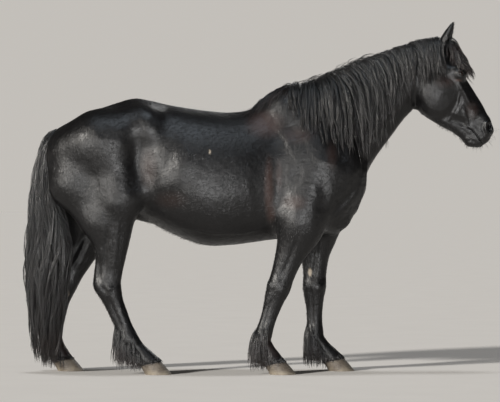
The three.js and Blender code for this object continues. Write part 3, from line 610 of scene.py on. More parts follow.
def crossed(inside):
    """The cells whose corners aren't all on one side."""
    count = np.zeros([n - 1 for n in inside.shape], np.int8)
    for corner in np.ndindex(2, 2, 2):
        count += inside[tuple(slice(c, n - 1 + c) for c, n in zip(corner, inside.shape))]
    return (count > 0) & (count < 8)


def net(inside, cell_at, keep):
    """One face of the dual surface for each grid edge that crosses it, as rows of four cells."""
    faces = []
    for axis in range(3):
        turn = [axis, (axis + 1) % 3, (axis + 2) % 3]
        signs = inside.transpose(turn)
        edge = np.stack(np.nonzero(signs[1:] != signs[:-1]), 1)
        out = signs[edge[:, 0], edge[:, 1], edge[:, 2]]
        ring = []
        for dj, dk in ((-1, -1), (0, -1), (0, 0), (-1, 0)):
            cell = np.empty_like(edge)
            cell[:, turn] = edge + (0, dj, dk)
            ring.append(cell)
        ok = keep(axis, ring[2])
        ids = np.stack([cell_at(c[ok]) for c in ring], 1)
        out = out[ok]
        faces.append(np.where(out[:, None], ids, ids[:, ::-1]))
    return np.concatenate(faces)


def skin_net(field):
    """Points and faces of the skin, from a coarse grid for the body and a fine one for the head."""
    low, step = GRID_LOW, VOXEL / FINE
    y0, y1, z0 = HEAD_INSET, GRID_WIDE - HEAD_INSET, HEAD_FLOOR
    cells = np.array([round((SPLIT - low[0]) / VOXEL), GRID_WIDE, GRID_HIGH])
    body_inside = grid_values(field, low, cells, VOXEL) < 0
    head_cells = np.array([HEAD_LONG, (y1 - y0) * FINE, (GRID_HIGH - z0) * FINE])
    fine_low = low + (SPLIT - low[0], y0 * VOXEL, z0 * VOXEL)
    head_inside = grid_values(field, fine_low, head_cells, step) < 0

    body_cells = crossed(body_inside)
    face = head_inside[0]
    mixed = np.zeros((head_cells[1] // FINE, head_cells[2] // FINE), bool)
    for j in range(FINE + 1):
        for k in range(FINE + 1):
            ends = face[j::FINE, k::FINE][: mixed.shape[0], : mixed.shape[1]]
            start = face[::FINE, ::FINE][: mixed.shape[0], : mixed.shape[1]]
            mixed |= ends != start
    body_cells[-1, y0:y1, z0:] |= mixed
    body_ids = np.full(body_cells.shape, -1)
    body_ids[body_cells] = np.arange(body_cells.sum())
    fine_cells = crossed(head_inside)
    fine_ids = np.full(fine_cells.shape, -1)
    fine_ids[fine_cells] = np.arange(fine_cells.sum()) + body_cells.sum()

    def fine_at(c):
        ids = fine_ids[np.maximum(c[:, 0], 0), c[:, 1], c[:, 2]]
        beyond = body_ids[-1, c[:, 1] // FINE + y0, c[:, 2] // FINE + z0]
        return np.where(c[:, 0] < 0, beyond, ids)

    faces = np.concatenate([
        net(body_inside, lambda c: body_ids[c[:, 0], c[:, 1], c[:, 2]], lambda axis, c: c[:, 0] < cells[0]),
        net(head_inside, fine_at, lambda axis, c: c[:, 0] >= 0),
    ])
    points = np.concatenate([
        low + (np.argwhere(body_cells) + 0.5) * VOXEL,
        fine_low + (np.argwhere(fine_cells) + 0.5) * step,
    ])
    return points, faces


def slope(field, p, reach=1.0):
    """The field at points and its slope there."""
    d = field(p)
    return d, np.stack([field(p + e) - d for e in np.eye(3) * reach], 1) / reach


def onto(field, p, rounds):
    """Points moved along the field's slope onto its surface."""
    for _ in range(rounds):
        d, g = slope(field, p)
        p = p - g * np.clip(d / np.maximum((g**2).sum(1), 0.05), -6, 6)[:, None]
    return p


def relaxed(points, faces, share):
    """Each point moved a share of the way to the middle of its neighbours."""
    a = faces.ravel()
    b = np.roll(faces, -1, 1).ravel()
    a, b = np.concatenate([a, b]), np.concatenate([b, a])
    count = np.bincount(a, minlength=len(points))
    total = np.stack([np.bincount(a, points[b, k], len(points)) for k in range(3)], 1)
    return points + share * (total / np.maximum(count, 1)[:, None] - points)


def make_mesh(name, points, faces, smooth=True):
    """An object from points in millimetres and faces of three or four corners."""
    mesh = bpy.data.meshes.new(name)
    loops = np.concatenate([np.asarray(f).ravel() for f in faces])
    sizes = np.concatenate([np.full(len(f), np.shape(f)[1]) for f in faces])
    mesh.vertices.add(len(points))
    mesh.vertices.foreach_set("co", (np.asarray(points) * MM).astype(np.float32).ravel())
    mesh.loops.add(len(loops))
    mesh.loops.foreach_set("vertex_index", loops.astype(np.int32))
    mesh.polygons.add(len(sizes))
    mesh.polygons.foreach_set("loop_start", np.concatenate([[0], np.cumsum(sizes)[:-1]]).astype(np.int32))
    mesh.polygons.foreach_set("use_smooth", np.full(len(sizes), smooth))
    mesh.update(calc_edges=True)
    mesh.validate()
    made = bpy.data.objects.new(name, mesh)
    bpy.context.scene.collection.objects.link(made)
    return made


def skin_object():
    """The skin's mesh, evened out and drawn onto its field."""
    points, faces = skin_net(skin)
    points = onto(skin, points, 2)
    for _ in range(2):
        points = relaxed(points, faces, 0.5)
        points = onto(skin, points, 1)
    points = relaxed(points, faces, 0.3)
    same = faces == np.roll(faces, -1, 1)
    split = same.any(1)
    threes = np.array([[v for v, s in zip(f, m) if not s] for f, m in zip(faces[split], same[split])])
    return make_mesh("skin", points, [faces[~split]] + ([threes] if len(threes) else []))


# ---------- markings, the same on the skin and on the coat ----------
# Where sun has browned the black: (x, z, half length, half height, how brown), seen from the side
BROWN = [
    # withers, shoulder and behind it
    (30, 1360, 130, 95, 0.7), (210, 1300, 110, 60, 0.4), (390, 1190, 40, 100, 0.35),
    (50, 1010, 34, 210, 0.9), (60, 880, 34, 70, 0.6), (104, 1080, 26, 110, 0.5),
    # elbow and flank
    (190, 935, 84, 56, 0.6), (-600, 1120, 60, 130, 0.45), (-480, 950, 110, 60, 0.25),
    # cheek, eye, nose and forelock
    (1016, 1596, 80, 46, 0.35), (1084, 1602, 32, 10, 0.9), (1164, 1440, 46, 60, 0.32),
    (1080, 1770, 60, 60, 0.5),
    # feet
    (-1120, 150, 180, 120, 0.4), (60, 150, 140, 90, 0.25),
]
# Horny spots on the inner sides of the legs: (x, z, half length, half height, which side)
CHESTNUTS = [(281, 547, 13, 25, 1), (92, 545, 13, 25, -1), (-1062, 432, 10, 20, 1), (-804, 432, 10, 20, -1)]
FLECK = (-270, 1207, 6, 13)  # the same, on the right flank
MUZZLE = 345        # how far down the face, from the poll, the bare skin of the muzzle starts


def blob(p, x, z, long, high):
    """An oval spot in the side view, 1 in its middle and 0 outside it."""
    r2 = ((p[:, 0] - x) / long) ** 2 + ((p[:, 2] - z) / high) ** 2
    return np.clip(1 - r2, 0, 1) ** 1.5


def brown_at(p):
    """How brown the sun has made the hair at points."""
    total = np.zeros(len(p))
    for x, z, long, high, amount in BROWN:
        total = np.maximum(total, amount * blob(p, x, z, long, high))
    return total


def pale_at(p):
    """The chestnuts, on the inner side of each leg, and a fleck on the right flank."""
    total = np.zeros(len(p))
    for x, z, long, high, side in CHESTNUTS:
        inner = (p[:, 1] * side > 0) & (np.abs(p[:, 1]) < 143)
        total = np.maximum(total, blob(p, x, z, long, high) * inner)
    total = np.maximum(total, blob(p, *FLECK) * (p[:, 1] < 0))
    return np.minimum(total * 3, 1)


def bare_at(p):
    """Where the hair is too short to hide the skin: the muzzle, the lids and inside the nostrils."""
    down_face = (p[:, 0] - 1062) * 0.5 - (p[:, 2] - 1750) * 0.87
    bare = ramp(down_face, MUZZLE, MUZZLE + 60) * (p[:, 0] > 1100)
    for side in SIDES.values():
        far = np.linalg.norm(p - mirrored(EYE, side), axis=1)
        bare = np.maximum(bare, ramp(far, 44, 32))
    return bare


def lie_at(p):
    """Which way the short hair lies."""
    x, z = p[:, 0], p[:, 2]
    way = np.tile([-0.86, 0.0, -0.5], (len(p), 1))
    for part, target in (
        (ramp(x, 350, 600), (-0.35, 0, -0.94)),                          # neck
        (ramp(-x, 650, 950), (-0.4, 0, -0.9)),                           # thigh
        (ramp(-z, -880, -700), (-0.08, 0, -1)),                          # legs
        (ramp(x, 900, 1000), (0.3, 0, -0.95)),                           # head
        (ramp(z, 1780, 1810) * ramp(x, 960, 985), (0.25, 0, 0.95)),      # ears
    ):
        way = way * (1 - part[:, None]) + np.array(target) * part[:, None]
    return way


def put(obj, name, values):
    """A number for each point of a mesh, for its material to read."""
    layer = obj.data.attributes.new(name, "FLOAT", "POINT")
    layer.data.foreach_set("value", np.asarray(values, np.float32))


# ---------- materials ----------
class Finish:
    """A material, its shader, and a short way to add nodes to it."""

    def __init__(self, name, **sockets):
        self.material = bpy.data.materials.new(name)
        self.material.use_nodes = True
        self.tree = self.material.node_tree
        self.shader = self.tree.nodes["Principled BSDF"]
        for socket, value in sockets.items():
            self.shader.inputs[socket.replace("_", " ")].default_value = value

    def node(self, kind, *inputs, out=0, **settings):
        """A node's output. Inputs are numbers, tuples, other outputs, or None to leave them."""
        made = self.tree.nodes.new("ShaderNode" + kind)
        for key, value in settings.items():
            setattr(made, key, value)
        for socket, value in zip(made.inputs, inputs):
            self.feed(socket, value)
        return made.outputs[out]

    def feed(self, socket, value):
        if isinstance(value, bpy.types.NodeSocket):
            self.tree.links.new(value, socket)
        elif value is not None:
            socket.default_value = value

    def math(self, operation, a, b=None):
        return self.node("Math", a, b, operation=operation)

    def attribute(self, name):
        return self.node("Attribute", attribute_name=name, out=2)

    def place(self, scale=(1, 1, 1), turn=(0, 0, 0)):
        where = self.node("TexCoord", out=3)
        return self.node("Mapping", where, None, turn, scale)

    def noise(self, place, scale, detail=2.0, rough=0.5):
        made = self.tree.nodes.new("ShaderNodeTexNoise")
        self.feed(made.inputs["Vector"], place)
        made.inputs["Scale"].default_value = scale
        made.inputs["Detail"].default_value = detail
        made.inputs["Roughness"].default_value = rough
        return made.outputs["Fac"]

    def ramp(self, value, low, high, to_low=0.0, to_high=1.0):
        return self.node("MapRange", value, low, high, to_low, to_high)

    def blend(self, share, a, b):
        made = self.tree.nodes.new("ShaderNodeMix")
        made.data_type = "RGBA"
        for socket, value in zip((made.inputs[0], made.inputs[6], made.inputs[7]), (share, a, b)):
            self.feed(socket, value)
        return made.outputs[2]

    def bump(self, height, distance, normal=None):
        made = self.tree.nodes.new("ShaderNodeBump")
        made.inputs["Strength"].default_value = 1.0
        made.inputs["Distance"].default_value = distance
        self.feed(made.inputs["Height"], height)
        self.feed(made.inputs["Normal"], normal)
        return made.outputs["Normal"]

    def surface(self, colour=None, rough=None, normal=None):
        for socket, value in (("Base Color", colour), ("Roughness", rough), ("Normal", normal)):
            self.feed(self.shader.inputs[socket], value)
        return self.material


BLACK = (0.0042, 0.0039, 0.0042, 1)
DEEP_BLACK = (0.0016, 0.0015, 0.0017, 1)
HAIR_BLACK = (0.0060, 0.0058, 0.0062, 1)
RED_BROWN = (0.046, 0.021, 0.015, 1)
HORN_GREY = (0.26, 0.22, 0.17, 1)
GLOSS = (0.30, 0.46)  # roughness of the hair, least and most
FUR_BUMP = 0.0007     # metres
UNEVEN_BUMP = 0.0030


def coat_finish():
    """Short glossy hair: near black, browned by the sun in places, with fine fur as bump."""
    f = Finish("coat", IOR=1.5, Specular_IOR_Level=0.4)
    lean = f.attribute("upright")

    def streaks(scale, stretch):
        slanting = f.noise(f.place((stretch, 1, 1), (0, 0.55, 0)), scale, 3, 0.6)
        upright = f.noise(f.place((1, 1, stretch)), scale, 3, 0.6)
        return f.math("ADD", f.math("MULTIPLY", upright, lean),
                      f.math("MULTIPLY", slanting, f.math("SUBTRACT", 1.0, lean)))

    fur, mottle = streaks(360, 0.22), streaks(105, 0.4)
    broad = f.noise(f.place(), 7, 2)
    black = f.blend(f.ramp(mottle, 0.35, 0.7), DEEP_BLACK, BLACK)
    brown = f.math("MULTIPLY", f.attribute("brown"), f.ramp(fur, 0.3, 0.65, 0.15, 1))
    colour = f.blend(brown, black, RED_BROWN)
    colour = f.blend(f.attribute("pale"), colour, HORN_GREY)
    bare = f.attribute("bare")
    furry = f.math("SUBTRACT", 1.0, f.math("MULTIPLY", bare, 0.75))
    rough = f.math("ADD", f.ramp(mottle, 0.3, 0.7, *GLOSS), f.ramp(broad, 0.3, 0.7, -0.04, 0.04))
    height = f.math("ADD", fur, f.math("MULTIPLY", mottle, 1.4))
    uneven = f.bump(f.noise(f.place(), 24, 2), UNEVEN_BUMP)
    normal = f.bump(f.math("MULTIPLY", height, furry), FUR_BUMP, uneven)
    pores = f.bump(f.math("MULTIPLY", f.noise(f.place(), 420, 2), bare), FUR_BUMP, normal)
    return f.surface(colour, rough, pores)


def hair_finish(name, tip_brown):
    """Long hair: each strand its own shade, browner towards the tip."""
    f = Finish(name, IOR=1.55, Specular_IOR_Level=0.9)
    shade = f.attribute("shade")
    black = f.blend(shade, DEEP_BLACK, HAIR_BLACK)
    tip = f.math("MULTIPLY", f.ramp(f.attribute("along"), 0.45, 1), tip_brown)
    brown = f.math("MAXIMUM", f.attribute("brown"), tip)
    brown = f.math("MULTIPLY", brown, f.ramp(shade, 0.1, 0.9, 0.25, 1))
    return f.surface(f.blend(brown, black, RED_BROWN), f.ramp(shade, 0, 1, *GLOSS))


coat_material = coat_finish()
hair_material = hair_finish("long_hair", 0.12)
fringe_material = hair_finish("brown_tipped_hair", 0.55)


# ---------- the skin ----------
UV_MAP = "OFBake"


def unwrap(obj):
    obj.data.uv_layers.new(name=UV_MAP)
    bpy.context.view_layer.objects.active = obj
    obj.select_set(True)
    bpy.ops.object.mode_set(mode="EDIT")
    bpy.ops.mesh.select_all(action="SELECT")
    bpy.ops.uv.smart_project(angle_limit=math.radians(66), island_margin=0.002)
    bpy.ops.object.mode_set(mode="OBJECT")
    obj.select_set(False)


def mark(obj, p):
    """The markings of points in millimetres."""
    put(obj, "brown", brown_at(p))
    put(obj, "pale", pale_at(p))
    put(obj, "bare", bare_at(p))
    put(obj, "upright", -unit(lie_at(p))[:, 2])


def read(items, key, width=1, kind=np.float32):
    """One property of all the items of a mesh, a row for each."""
    values = np.empty(len(items) * width, kind)
    items.foreach_get(key, values)
    return values.reshape(-1, width) if width > 1 else values


hide = skin_object()
unwrap(hide)
mark(hide, read(hide.data.vertices, "co", 3) / MM)
hide.data.materials.append(coat_material)
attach(hide, "root")
HAIR_NODES = ("eye_", "mane", "forelock", "tail")
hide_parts(*[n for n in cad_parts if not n.startswith(HAIR_NODES) and "_hoof_" not in n])


class SkinMap:
    """The skin's faces: their middles, normals, areas and places on its unwrap."""

    def __init__(self, mesh):
        faces = mesh.polygons
        self.middle, self.normal = read(faces, "center", 3) / MM, read(faces, "normal", 3)
        self.area = read(faces, "area")
        start, total = (read(faces, key, kind=np.int32) for key in ("loop_start", "loop_total"))
        sums = np.add.reduceat(read(mesh.uv_layers[UV_MAP].data, "uv", 2), start, axis=0)
        self.place = sums / total[:, None]
        self.tree = KDTree(len(faces))
        for i, point in enumerate(self.middle):
            self.tree.insert(point, i)
        self.tree.balance()

    def places(self, points):
        return self.place[[self.tree.find(point)[1] for point in points]]


skin_map = SkinMap(hide.data)


# ---------- hair ----------
rng = np.random.default_rng(7)
DOWN = np.array([0.0, 0.0, -1.0])
PATCH = 0.003       # width of a strand's place on the skin's unwrap
MOST = 190_000      # triangles in one piece of hair


def cast(field, start, direction, reach=500, step=8.0):
    """How far each ray runs inside the field before it meets the surface."""
    low = np.zeros(len(start))
    going = np.ones(len(start), bool)
    for _ in range(int(reach / step)):
        ahead = field(start[going] + direction[going] * (low[going] + step)[:, None]) < 0
        low[np.flatnonzero(going)[ahead]] += step
        going[np.flatnonzero(going)[~ahead]] = False
        if not going.any():
            break
    high = low + step
    for _ in range(8):
        middle = (low + high) / 2
        inside = field(start + direction * middle[:, None]) < 0
        low, high = np.where(inside, middle, low), np.where(inside, high, middle)
    return low


def fall(field, roots, heading, length, clear, droop, steps, sway=0.12, rise=4.0):
    """Paths of hair that set out along a heading, bend down and lie on the body at a clearance."""
    p, v = roots.copy(), unit(heading)
    out = [p]
    step = length / (steps - 1)
    drift = rng.normal(0, sway, (len(p), 3))
    for k in range(1, steps):
        drift = 0.7 * drift + rng.normal(0, sway * 0.6, drift.shape)
        v = unit(v * (1 - droop) + DOWN * droop + drift * 0.3)
        p = p + v * step[:, None]
        room = clear * min(1, k / steps * rise)
        d, g = slope(field, p, 2.0)
        g = unit(g)
        push = np.clip(room - d, 0, 30)
        p = p + g * push[:, None]
        v = v - g * np.where(push > 0, np.minimum((v * g).sum(1), 0), 0)[:, None]
        out.append(p)
    return np.stack(out, 1)


def lock(guides, strands, spread, tight=0.35, ragged=0.25, curl=2.0, waves=2.5):
    """Strands gathered round guide paths: wide apart at the root, drawn together at the tip."""
    n, m = guides.shape[:2]
    t = np.linspace(0, 1, m)
    tangent = unit(np.gradient(guides, axis=1))
    side = unit(np.cross(tangent, rng.normal(0, 1, (n, 1, 3)) + (0.0, 1.0, 0.0)))
    up = np.cross(side, tangent)
    angle = rng.uniform(0, 2 * np.pi, (n, strands, 1))
    radius = np.sqrt(rng.uniform(0, 1, (n, strands, 1))) * spread
    shape = 1 + (tight - 1) * t**1.3
    reach = 1 - ragged * rng.uniform(0, 1, (n, strands, 1)) ** 2
    at = t * reach * (m - 1)
    i = np.clip(at.astype(int), 0, m - 2)
    rows = np.arange(n)[:, None, None]
    part = (at - i)[..., None]

    def follow(a):
        return a[rows, i] * (1 - part) + a[rows, i + 1] * part

    phase = rng.uniform(0, 2 * np.pi, (n, 1, 1)) + rng.normal(0, 0.5, (n, strands, 1))
    wave = curl * t * np.sin(2 * np.pi * waves * t * reach + phase)
    a = radius * np.cos(angle) * shape + wave
    b = radius * np.sin(angle) * shape * 0.6 + wave * 0.4
    paths = follow(guides) + follow(side) * a[..., None] + follow(up) * b[..., None]
    return paths.reshape(n * strands, m, 3)


def strand_object(name, paths, radius, places, flat, facing, smooth):
    """Closed three-sided strands that taper to a point, each with its patch on the skin's unwrap."""
    n, m = paths.shape[:2]
    t = np.linspace(0, 1, m)[:-1]
    tangent = unit(np.gradient(paths, axis=1))[:, :-1]
    side = unit(np.cross(tangent, facing[:, None]))
    up = np.cross(side, tangent)
    size = radius[:, None] * np.minimum(0.35 + 4 * t, 1) * (1 - 0.55 * t**2)
    rings = []
    for a in (0.5, 7 / 6, 11 / 6):
        rings.append(side * (math.cos(a * math.pi) * size)[..., None]
                     + up * (math.sin(a * math.pi) * flat * size)[..., None])
    tube = paths[:, :-1, None] + np.stack(rings, 2)
    points = np.concatenate([tube.reshape(n, -1, 3), paths[:, -1:]], 1).reshape(-1, 3)
    per = (m - 1) * 3 + 1
    first = (np.arange(n) * per)[:, None, None]
    k, j = np.meshgrid(np.arange(m - 2), np.arange(3), indexing="ij")
    after = (j + 1) % 3
    quads = np.stack([3 * k + j, 3 * k + after, 3 * k + 3 + after, 3 * k + 3 + j], -1).reshape(1, -1, 4)
    end = 3 * (m - 2)
    threes = [(2, 1, 0)] + [(end + i, end + (i + 1) % 3, per - 1) for i in range(3)]
    faces = [(first + quads).reshape(-1, 4), (first + np.array([threes])).reshape(-1, 3)]
    made = make_mesh(name, points, faces, smooth)

    # each face's place in its strand's patch: across it, and from root to tip
    row, top = k / (m - 1), (k + 1) / (m - 1)
    u0, u1 = j / 3, (j + 1) / 3
    quad_uv = np.stack([u0, row, u1, row, u1, top, u0, top], -1).reshape(-1, 2)
    tip = (m - 2) / (m - 1)
    three_uv = [(0, 0), (0.3, 0), (0, 0.1)]
    for j in range(3):
        three_uv += [(j / 3, tip), ((j + 1) / 3, tip), ((j + 0.5) / 3, 1)]
    corner = np.clip(places, PATCH, 1 - PATCH)[:, None] - PATCH / 2
    uv = [(corner + PATCH * np.array(part)[None]).reshape(-1, 2) for part in (quad_uv, three_uv)]
    layer = made.data.uv_layers.new(name=UV_MAP)
    layer.data.foreach_set("uv", np.concatenate(uv).astype(np.float32).ravel())

    along = np.concatenate([np.repeat(t, 3), [1.0]])
    put(made, "along", np.tile(along, n))
    put(made, "shade", np.repeat(rng.uniform(0, 1, n), per))
    mark(made, points)
    return made


def hair(name, paths, width, material, nodes=(), flat=0.55, facing=None, smooth=True,
         scale=1):
    """Strands of random widths as pieces that are each under the limit of triangles."""
    n, m = paths.shape[:2]
    if facing is None:
        facing = rng.normal(0, 0.5, (n, 3)) + (0.0, 1.0, 0.3)
    radius = rng.uniform(*width, n) * scale
    places = skin_map.places(paths[:, 0])
    count = -(-n * (6 * m - 8) // MOST)
    for i, rows in enumerate(np.array_split(np.arange(n), count)):
        title = f"{name}_{i + 1}" if count > 1 else name
        made = strand_object(title, paths[rows], radius[rows], places[rows], flat, facing[rows], smooth)
        made.data.materials.append(material)
        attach(made, "root")
        if nodes:
            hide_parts(*nodes)


def locks(name, guides, strands, spread, width, material, nodes=(), **look):
    """Hair in locks round guide paths."""
    hair(name, lock(guides, strands, spread, **look), width, material, nodes)


def headings(count, middle, spread):
    """Random directions about a middle one."""
    return np.stack([m + rng.normal(0, s, count) for m, s in zip(middle, spread)], 1)


def spots(count, weight):
    """Roots on the skin, spread by area and a weight, with their normals."""
    chance = skin_map.area * weight
    picked = rng.choice(len(chance), count, p=chance / chance.sum())
    jitter = rng.normal(0, 2.5, (count, 3))
    normal = skin_map.normal[picked]
    jitter -= normal * (jitter * normal).sum(1)[:, None]
    return skin_map.middle[picked] + jitter, normal


# The mane's free edge: (x, how far it hangs below the crest)
MANE_DROP = [(60, 110), (186, 170), (296, 370), (406, 490), (516, 570), (589, 520), (699, 370), (773, 270),
             (846, 230), (974, 250)]
MANE_FRONT, MANE_LONG = 968, 790
MANE_AHEAD = 80     # how far ahead of its root a lock's tip falls
INNER_LINE = [(-60, 1300), (20, 1300), (180, 1420), (936, 1660), (962, 1700)]  # (x, z) within the neck


def on_top(base):
    """Roots just under the skin, straight above points inside it."""
    up = np.tile([0, 0, 1.0], (len(base), 1))
    return base + up * (cast(skin, base, up) - 2)[:, None]


def crest_roots(x, y):
    return on_top(np.stack([x, y, np.interp(x, *np.transpose(INNER_LINE))], 1))


def mane_paths(count):
    """The mane on the right of the neck: its front leans ahead and its back edge hangs straight."""
    x = np.sort(MANE_FRONT - MANE_LONG * rng.uniform(0, 1, count) ** 1.1)
    roots = crest_roots(x, rng.uniform(-16, 12, count))
    heading = headings(count, (0.8, -0.7, 0.4), (0.16, 0.12, 0.14))
    heading[:, 0] -= 0.2 * ramp(x, 800, 950)
    heading[:, 0] -= ramp(x, 420, 180)
    drop = np.interp(x + MANE_AHEAD * ramp(x, 180, 380), *np.transpose(MANE_DROP))
    length = (drop + 60) * rng.uniform(0.74, 1.04, count)
    return fall(skin, roots, heading, length, rng.uniform(5, 26, count), 0.3, steps=13, sway=0.1)


def withers_paths(count):
    """The mane's thin end over the withers, which lies back and down."""
    x = rng.uniform(-10, 250, count)
    roots = crest_roots(x, rng.uniform(-30, 8, count))
    heading = headings(count, (-0.55, -0.7, 0), (0.2, 0.15, 0.1))
    return fall(skin, roots, heading, rng.uniform(60, 190, count), rng.uniform(1, 4, count), 0.24, steps=10)


def wisp_paths(count):
    """Loose hairs that stand off the crest."""
    x = rng.uniform(190, 560, count)
    roots = crest_roots(x, rng.uniform(-14, 14, count))
    heading = headings(count, (0.75, -0.25, 0.7), (0.2, 0.3, 0.2))
    return fall(skin, roots, heading, rng.uniform(70, 170, count), rng.uniform(4, 20, count), 0.16, steps=10)


def tail_paths(count, steps=16):
    """Strands inside the tail's outline, from its dock down, with slow waves."""
    loft = outline_loft(TAIL, TAIL_Y)
    last = len(TAIL) - 1
    start = rng.uniform(0.1, 3.2, count)
    stop = np.minimum(rng.uniform(7.6, 10.4, count), last - 0.02)
    t = np.linspace(0, 1, steps)
    s = start[:, None] + (stop - start)[:, None] * t
    i = np.clip(s.astype(int), 0, last - 1)
    rows = loft.between(i.ravel(), (s - i).ravel()).reshape(count, steps, -1)
    angle = rng.uniform(0, 2 * np.pi, count)[:, None]
    share = np.sqrt(rng.uniform(0.02, 1, count))[:, None]
    open_up = np.clip((s - start[:, None]) / 1.6 + 0.35, 0, 1)
    drift = angle + 0.5 * np.sin(s * 0.7 + rng.uniform(0, 6, (count, 1)))
    lengthwise = np.where(np.cos(drift) > 0, rows[..., 5], rows[..., 6]) * np.cos(drift) * share * open_up
    across = rows[..., 7] * np.sin(drift) * share * open_up
    u = unit(rows[..., 3:5])
    p = rows[..., :3].copy()
    p[..., 0] += u[..., 0] * lengthwise
    p[..., 2] += u[..., 1] * lengthwise
    p[..., 1] += across
    wave = 7 * np.sin(s * 3.1 + rng.uniform(0, 2 * np.pi, (count, 1))) * np.clip(t * 3, 0, 1)
    p[..., 0] += wave
    p[..., 1] += 0.7 * wave
    return p


def forelock_paths(count):
    """From between the ears over the brow: its front stands out, its right side lies on the temple."""
    turn = rng.uniform(-0.3, 1.1, count)
    side = ramp(turn, 0, 0.8)
    y = rng.uniform(-28, 24, count)
    roots = on_top(np.stack([rng.uniform(994, 1028, count) + 16 * side, y, np.full(count, 1700.0)], 1))
    turn = turn - y / 90
    heading = np.stack([0.95 * np.cos(turn), -0.8 * np.sin(turn), 0.04 + rng.normal(0, 0.1, count)], 1)
    clear = 3 + 52 * rng.uniform(0, 1, count) ** 0.9 * (1 - 0.85 * side)
    length = rng.uniform(150, 280, count) * (1 - 0.25 * side)
    return fall(skin, roots, heading, length, clear, 0.22, 12, 0.08)


locks("mane", mane_paths(420), 11, 10.0, (0.8, 1.6), hair_material, ["mane"], curl=6.0, waves=2)
locks("mane_end", withers_paths(130), 8, 9.0, (0.6, 1.0), fringe_material, ["mane"], tight=0.7, ragged=0.5)
locks("mane_wisps", wisp_paths(60), 4, 5.0, (0.6, 1.0), hair_material, tight=0.8, ragged=0.5)
locks("tail", tail_paths(230), 13, 11.0, (0.9, 1.8), hair_material, ["tail"], tight=0.4, curl=8.0, waves=3)
locks("forelock_hair", forelock_paths(150), 11, 9.0, (0.8, 1.4), fringe_material, ["forelock"],
      tight=0.4, curl=4.0)


# ---------- hair of the legs, jaw, ears, lids and belly ----------
def hoof_field(p):
    """The hooves, as a field like the skin's."""
    d = np.full(len(p), FAR)
    for x, y, z in rims.values():
        t = np.clip(p[:, 2] / (z + CORONET_DROP * (p[:, 0] - x)), 0, 1.5)
        long = HOOF_HALF + (RIM - HOOF_HALF) * t
        wide = HOOF_WIDTH / 2 + (RIM_WIDE - HOOF_WIDTH / 2) * t
        r = np.hypot((p[:, 0] - x - (TOE_RUN + HEEL_RUN) / 2 * (1 - t)) / long, (p[:, 1] - y) / wide)
        d = np.minimum(d, np.maximum((r - 1) * wide, (t - 1) * z))
    return d


def shod(p):
    """The field of skin and hooves together."""
    return np.minimum(skin(p), hoof_field(p))


def near_limb(points, name, reach=130):
    """Which points belong to a limb's lower part."""
    x, y, _ = rims[name]
    return (np.abs(points[:, 0] - x) < reach + 60) & (np.abs(points[:, 1] - y) < 95) & (points[:, 2] < 330)


def feather_paths(name, count, steps=8):
    """Hair from the back and sides of the fetlock and pastern that falls over the heels."""
    middle, normal = skin_map.middle, skin_map.normal
    behind = np.clip(0.45 - normal[:, 0], 0, 1) * (middle[:, 2] > 84) * (middle[:, 2] < 262)
    roots, out = spots(count, near_limb(middle, name) * behind)
    back = np.clip(-out[:, 0], 0, 1)
    heading = out * 0.12 + (0, 0, -0.9) + rng.normal(0, 0.08, (count, 3))
    length = (roots[:, 2] - rng.uniform(6, 80, count)).clip(20, 210)
    clear = rng.uniform(1, 6, count) + back * rng.uniform(0, 20, count)
    return fall(shod, roots - out, heading, length, clear, 0.3, steps, 0.06, rise=1.3)


def coronet_paths(name, count):
    """The fringe over the upper edge of the hoof."""
    middle = skin_map.middle
    x, _, z = rims[name]
    edge = z + CORONET_DROP * (middle[:, 0] - x)
    roots, out = spots(count, near_limb(middle, name) * (np.abs(middle[:, 2] - edge - 12) < 12))
    heading = out * 0.3 + (0, 0, -0.9) + rng.normal(0, 0.1, (count, 3))
    length, clear = rng.uniform(14, 26, count), rng.uniform(0.5, 2, count)
    return fall(shod, roots, heading, length, clear, 0.1, steps=5, sway=0.05)


for name in rims:
    locks(f"feather_{name}", feather_paths(name, 200), 5, 7.0, (0.7, 1.2), fringe_material,
          tight=0.7, ragged=0.4, curl=4.0)
coronets = np.concatenate([coronet_paths(name, 420) for name in rims])
hair("coronets", coronets, (0.7, 1.2), hair_material)


def tufts(count, weight, heading, length, clear, stand, droop=0.15):
    """Short hair on the part of the skin with a weight, standing off it by a share."""
    roots, out = spots(count, weight)
    way = out * stand + heading + rng.normal(0, 0.15, (count, 3))
    return fall(skin, roots, way, rng.uniform(*length, count), rng.uniform(*clear, count), droop, 6, 0.08)


# where the fringes grow: limits on the place and on the direction that the skin faces
x, y, z = skin_map.middle.T
ahead, _, up = skin_map.normal.T
jaw = (x > 980) & (x < 1118) & (z < 1410) & (up < -0.3) & (np.abs(y) < 50)
chin = (x > 1120) & (x < 1230) & (up < -0.1) & (z < 1300)
belly = (x > -740) & (x < -300) & (z < 940) & (up < -0.45) & (np.abs(y) < 110)
elbow = (x > 60) & (x < 330) & (z > 700) & (z < 860) & (ahead < -0.1)
leg_back = (z > 260) & (z < 700) & (ahead < -0.55)
ear_rim = (z > 1795) & (x > 985) & (x < 1090) & (ahead > 0.15)
fuzz = [
    tufts(170, jaw, (-0.1, 0, -0.8), (6, 20), (1, 5), 0.35),
    tufts(60, chin, (-0.1, 0, -0.8), (8, 18), (1, 4), 0.4),
    tufts(500, belly, (-0.8, 0, -0.2), (8, 15), (0.5, 2), 0.05),
    tufts(260, elbow, (-0.3, 0, -0.8), (10, 20), (1, 4), 0.15),
    tufts(900, leg_back, (-0.1, 0, -0.9), (8, 15), (0.5, 2), 0.08),
    tufts(500, ear_rim, (0.3, 0, 0.7), (6, 15), (1, 4), 0.35, droop=-0.02),
]
hair("short_fringes", np.concatenate(fuzz), (0.4, 0.8), fringe_material)


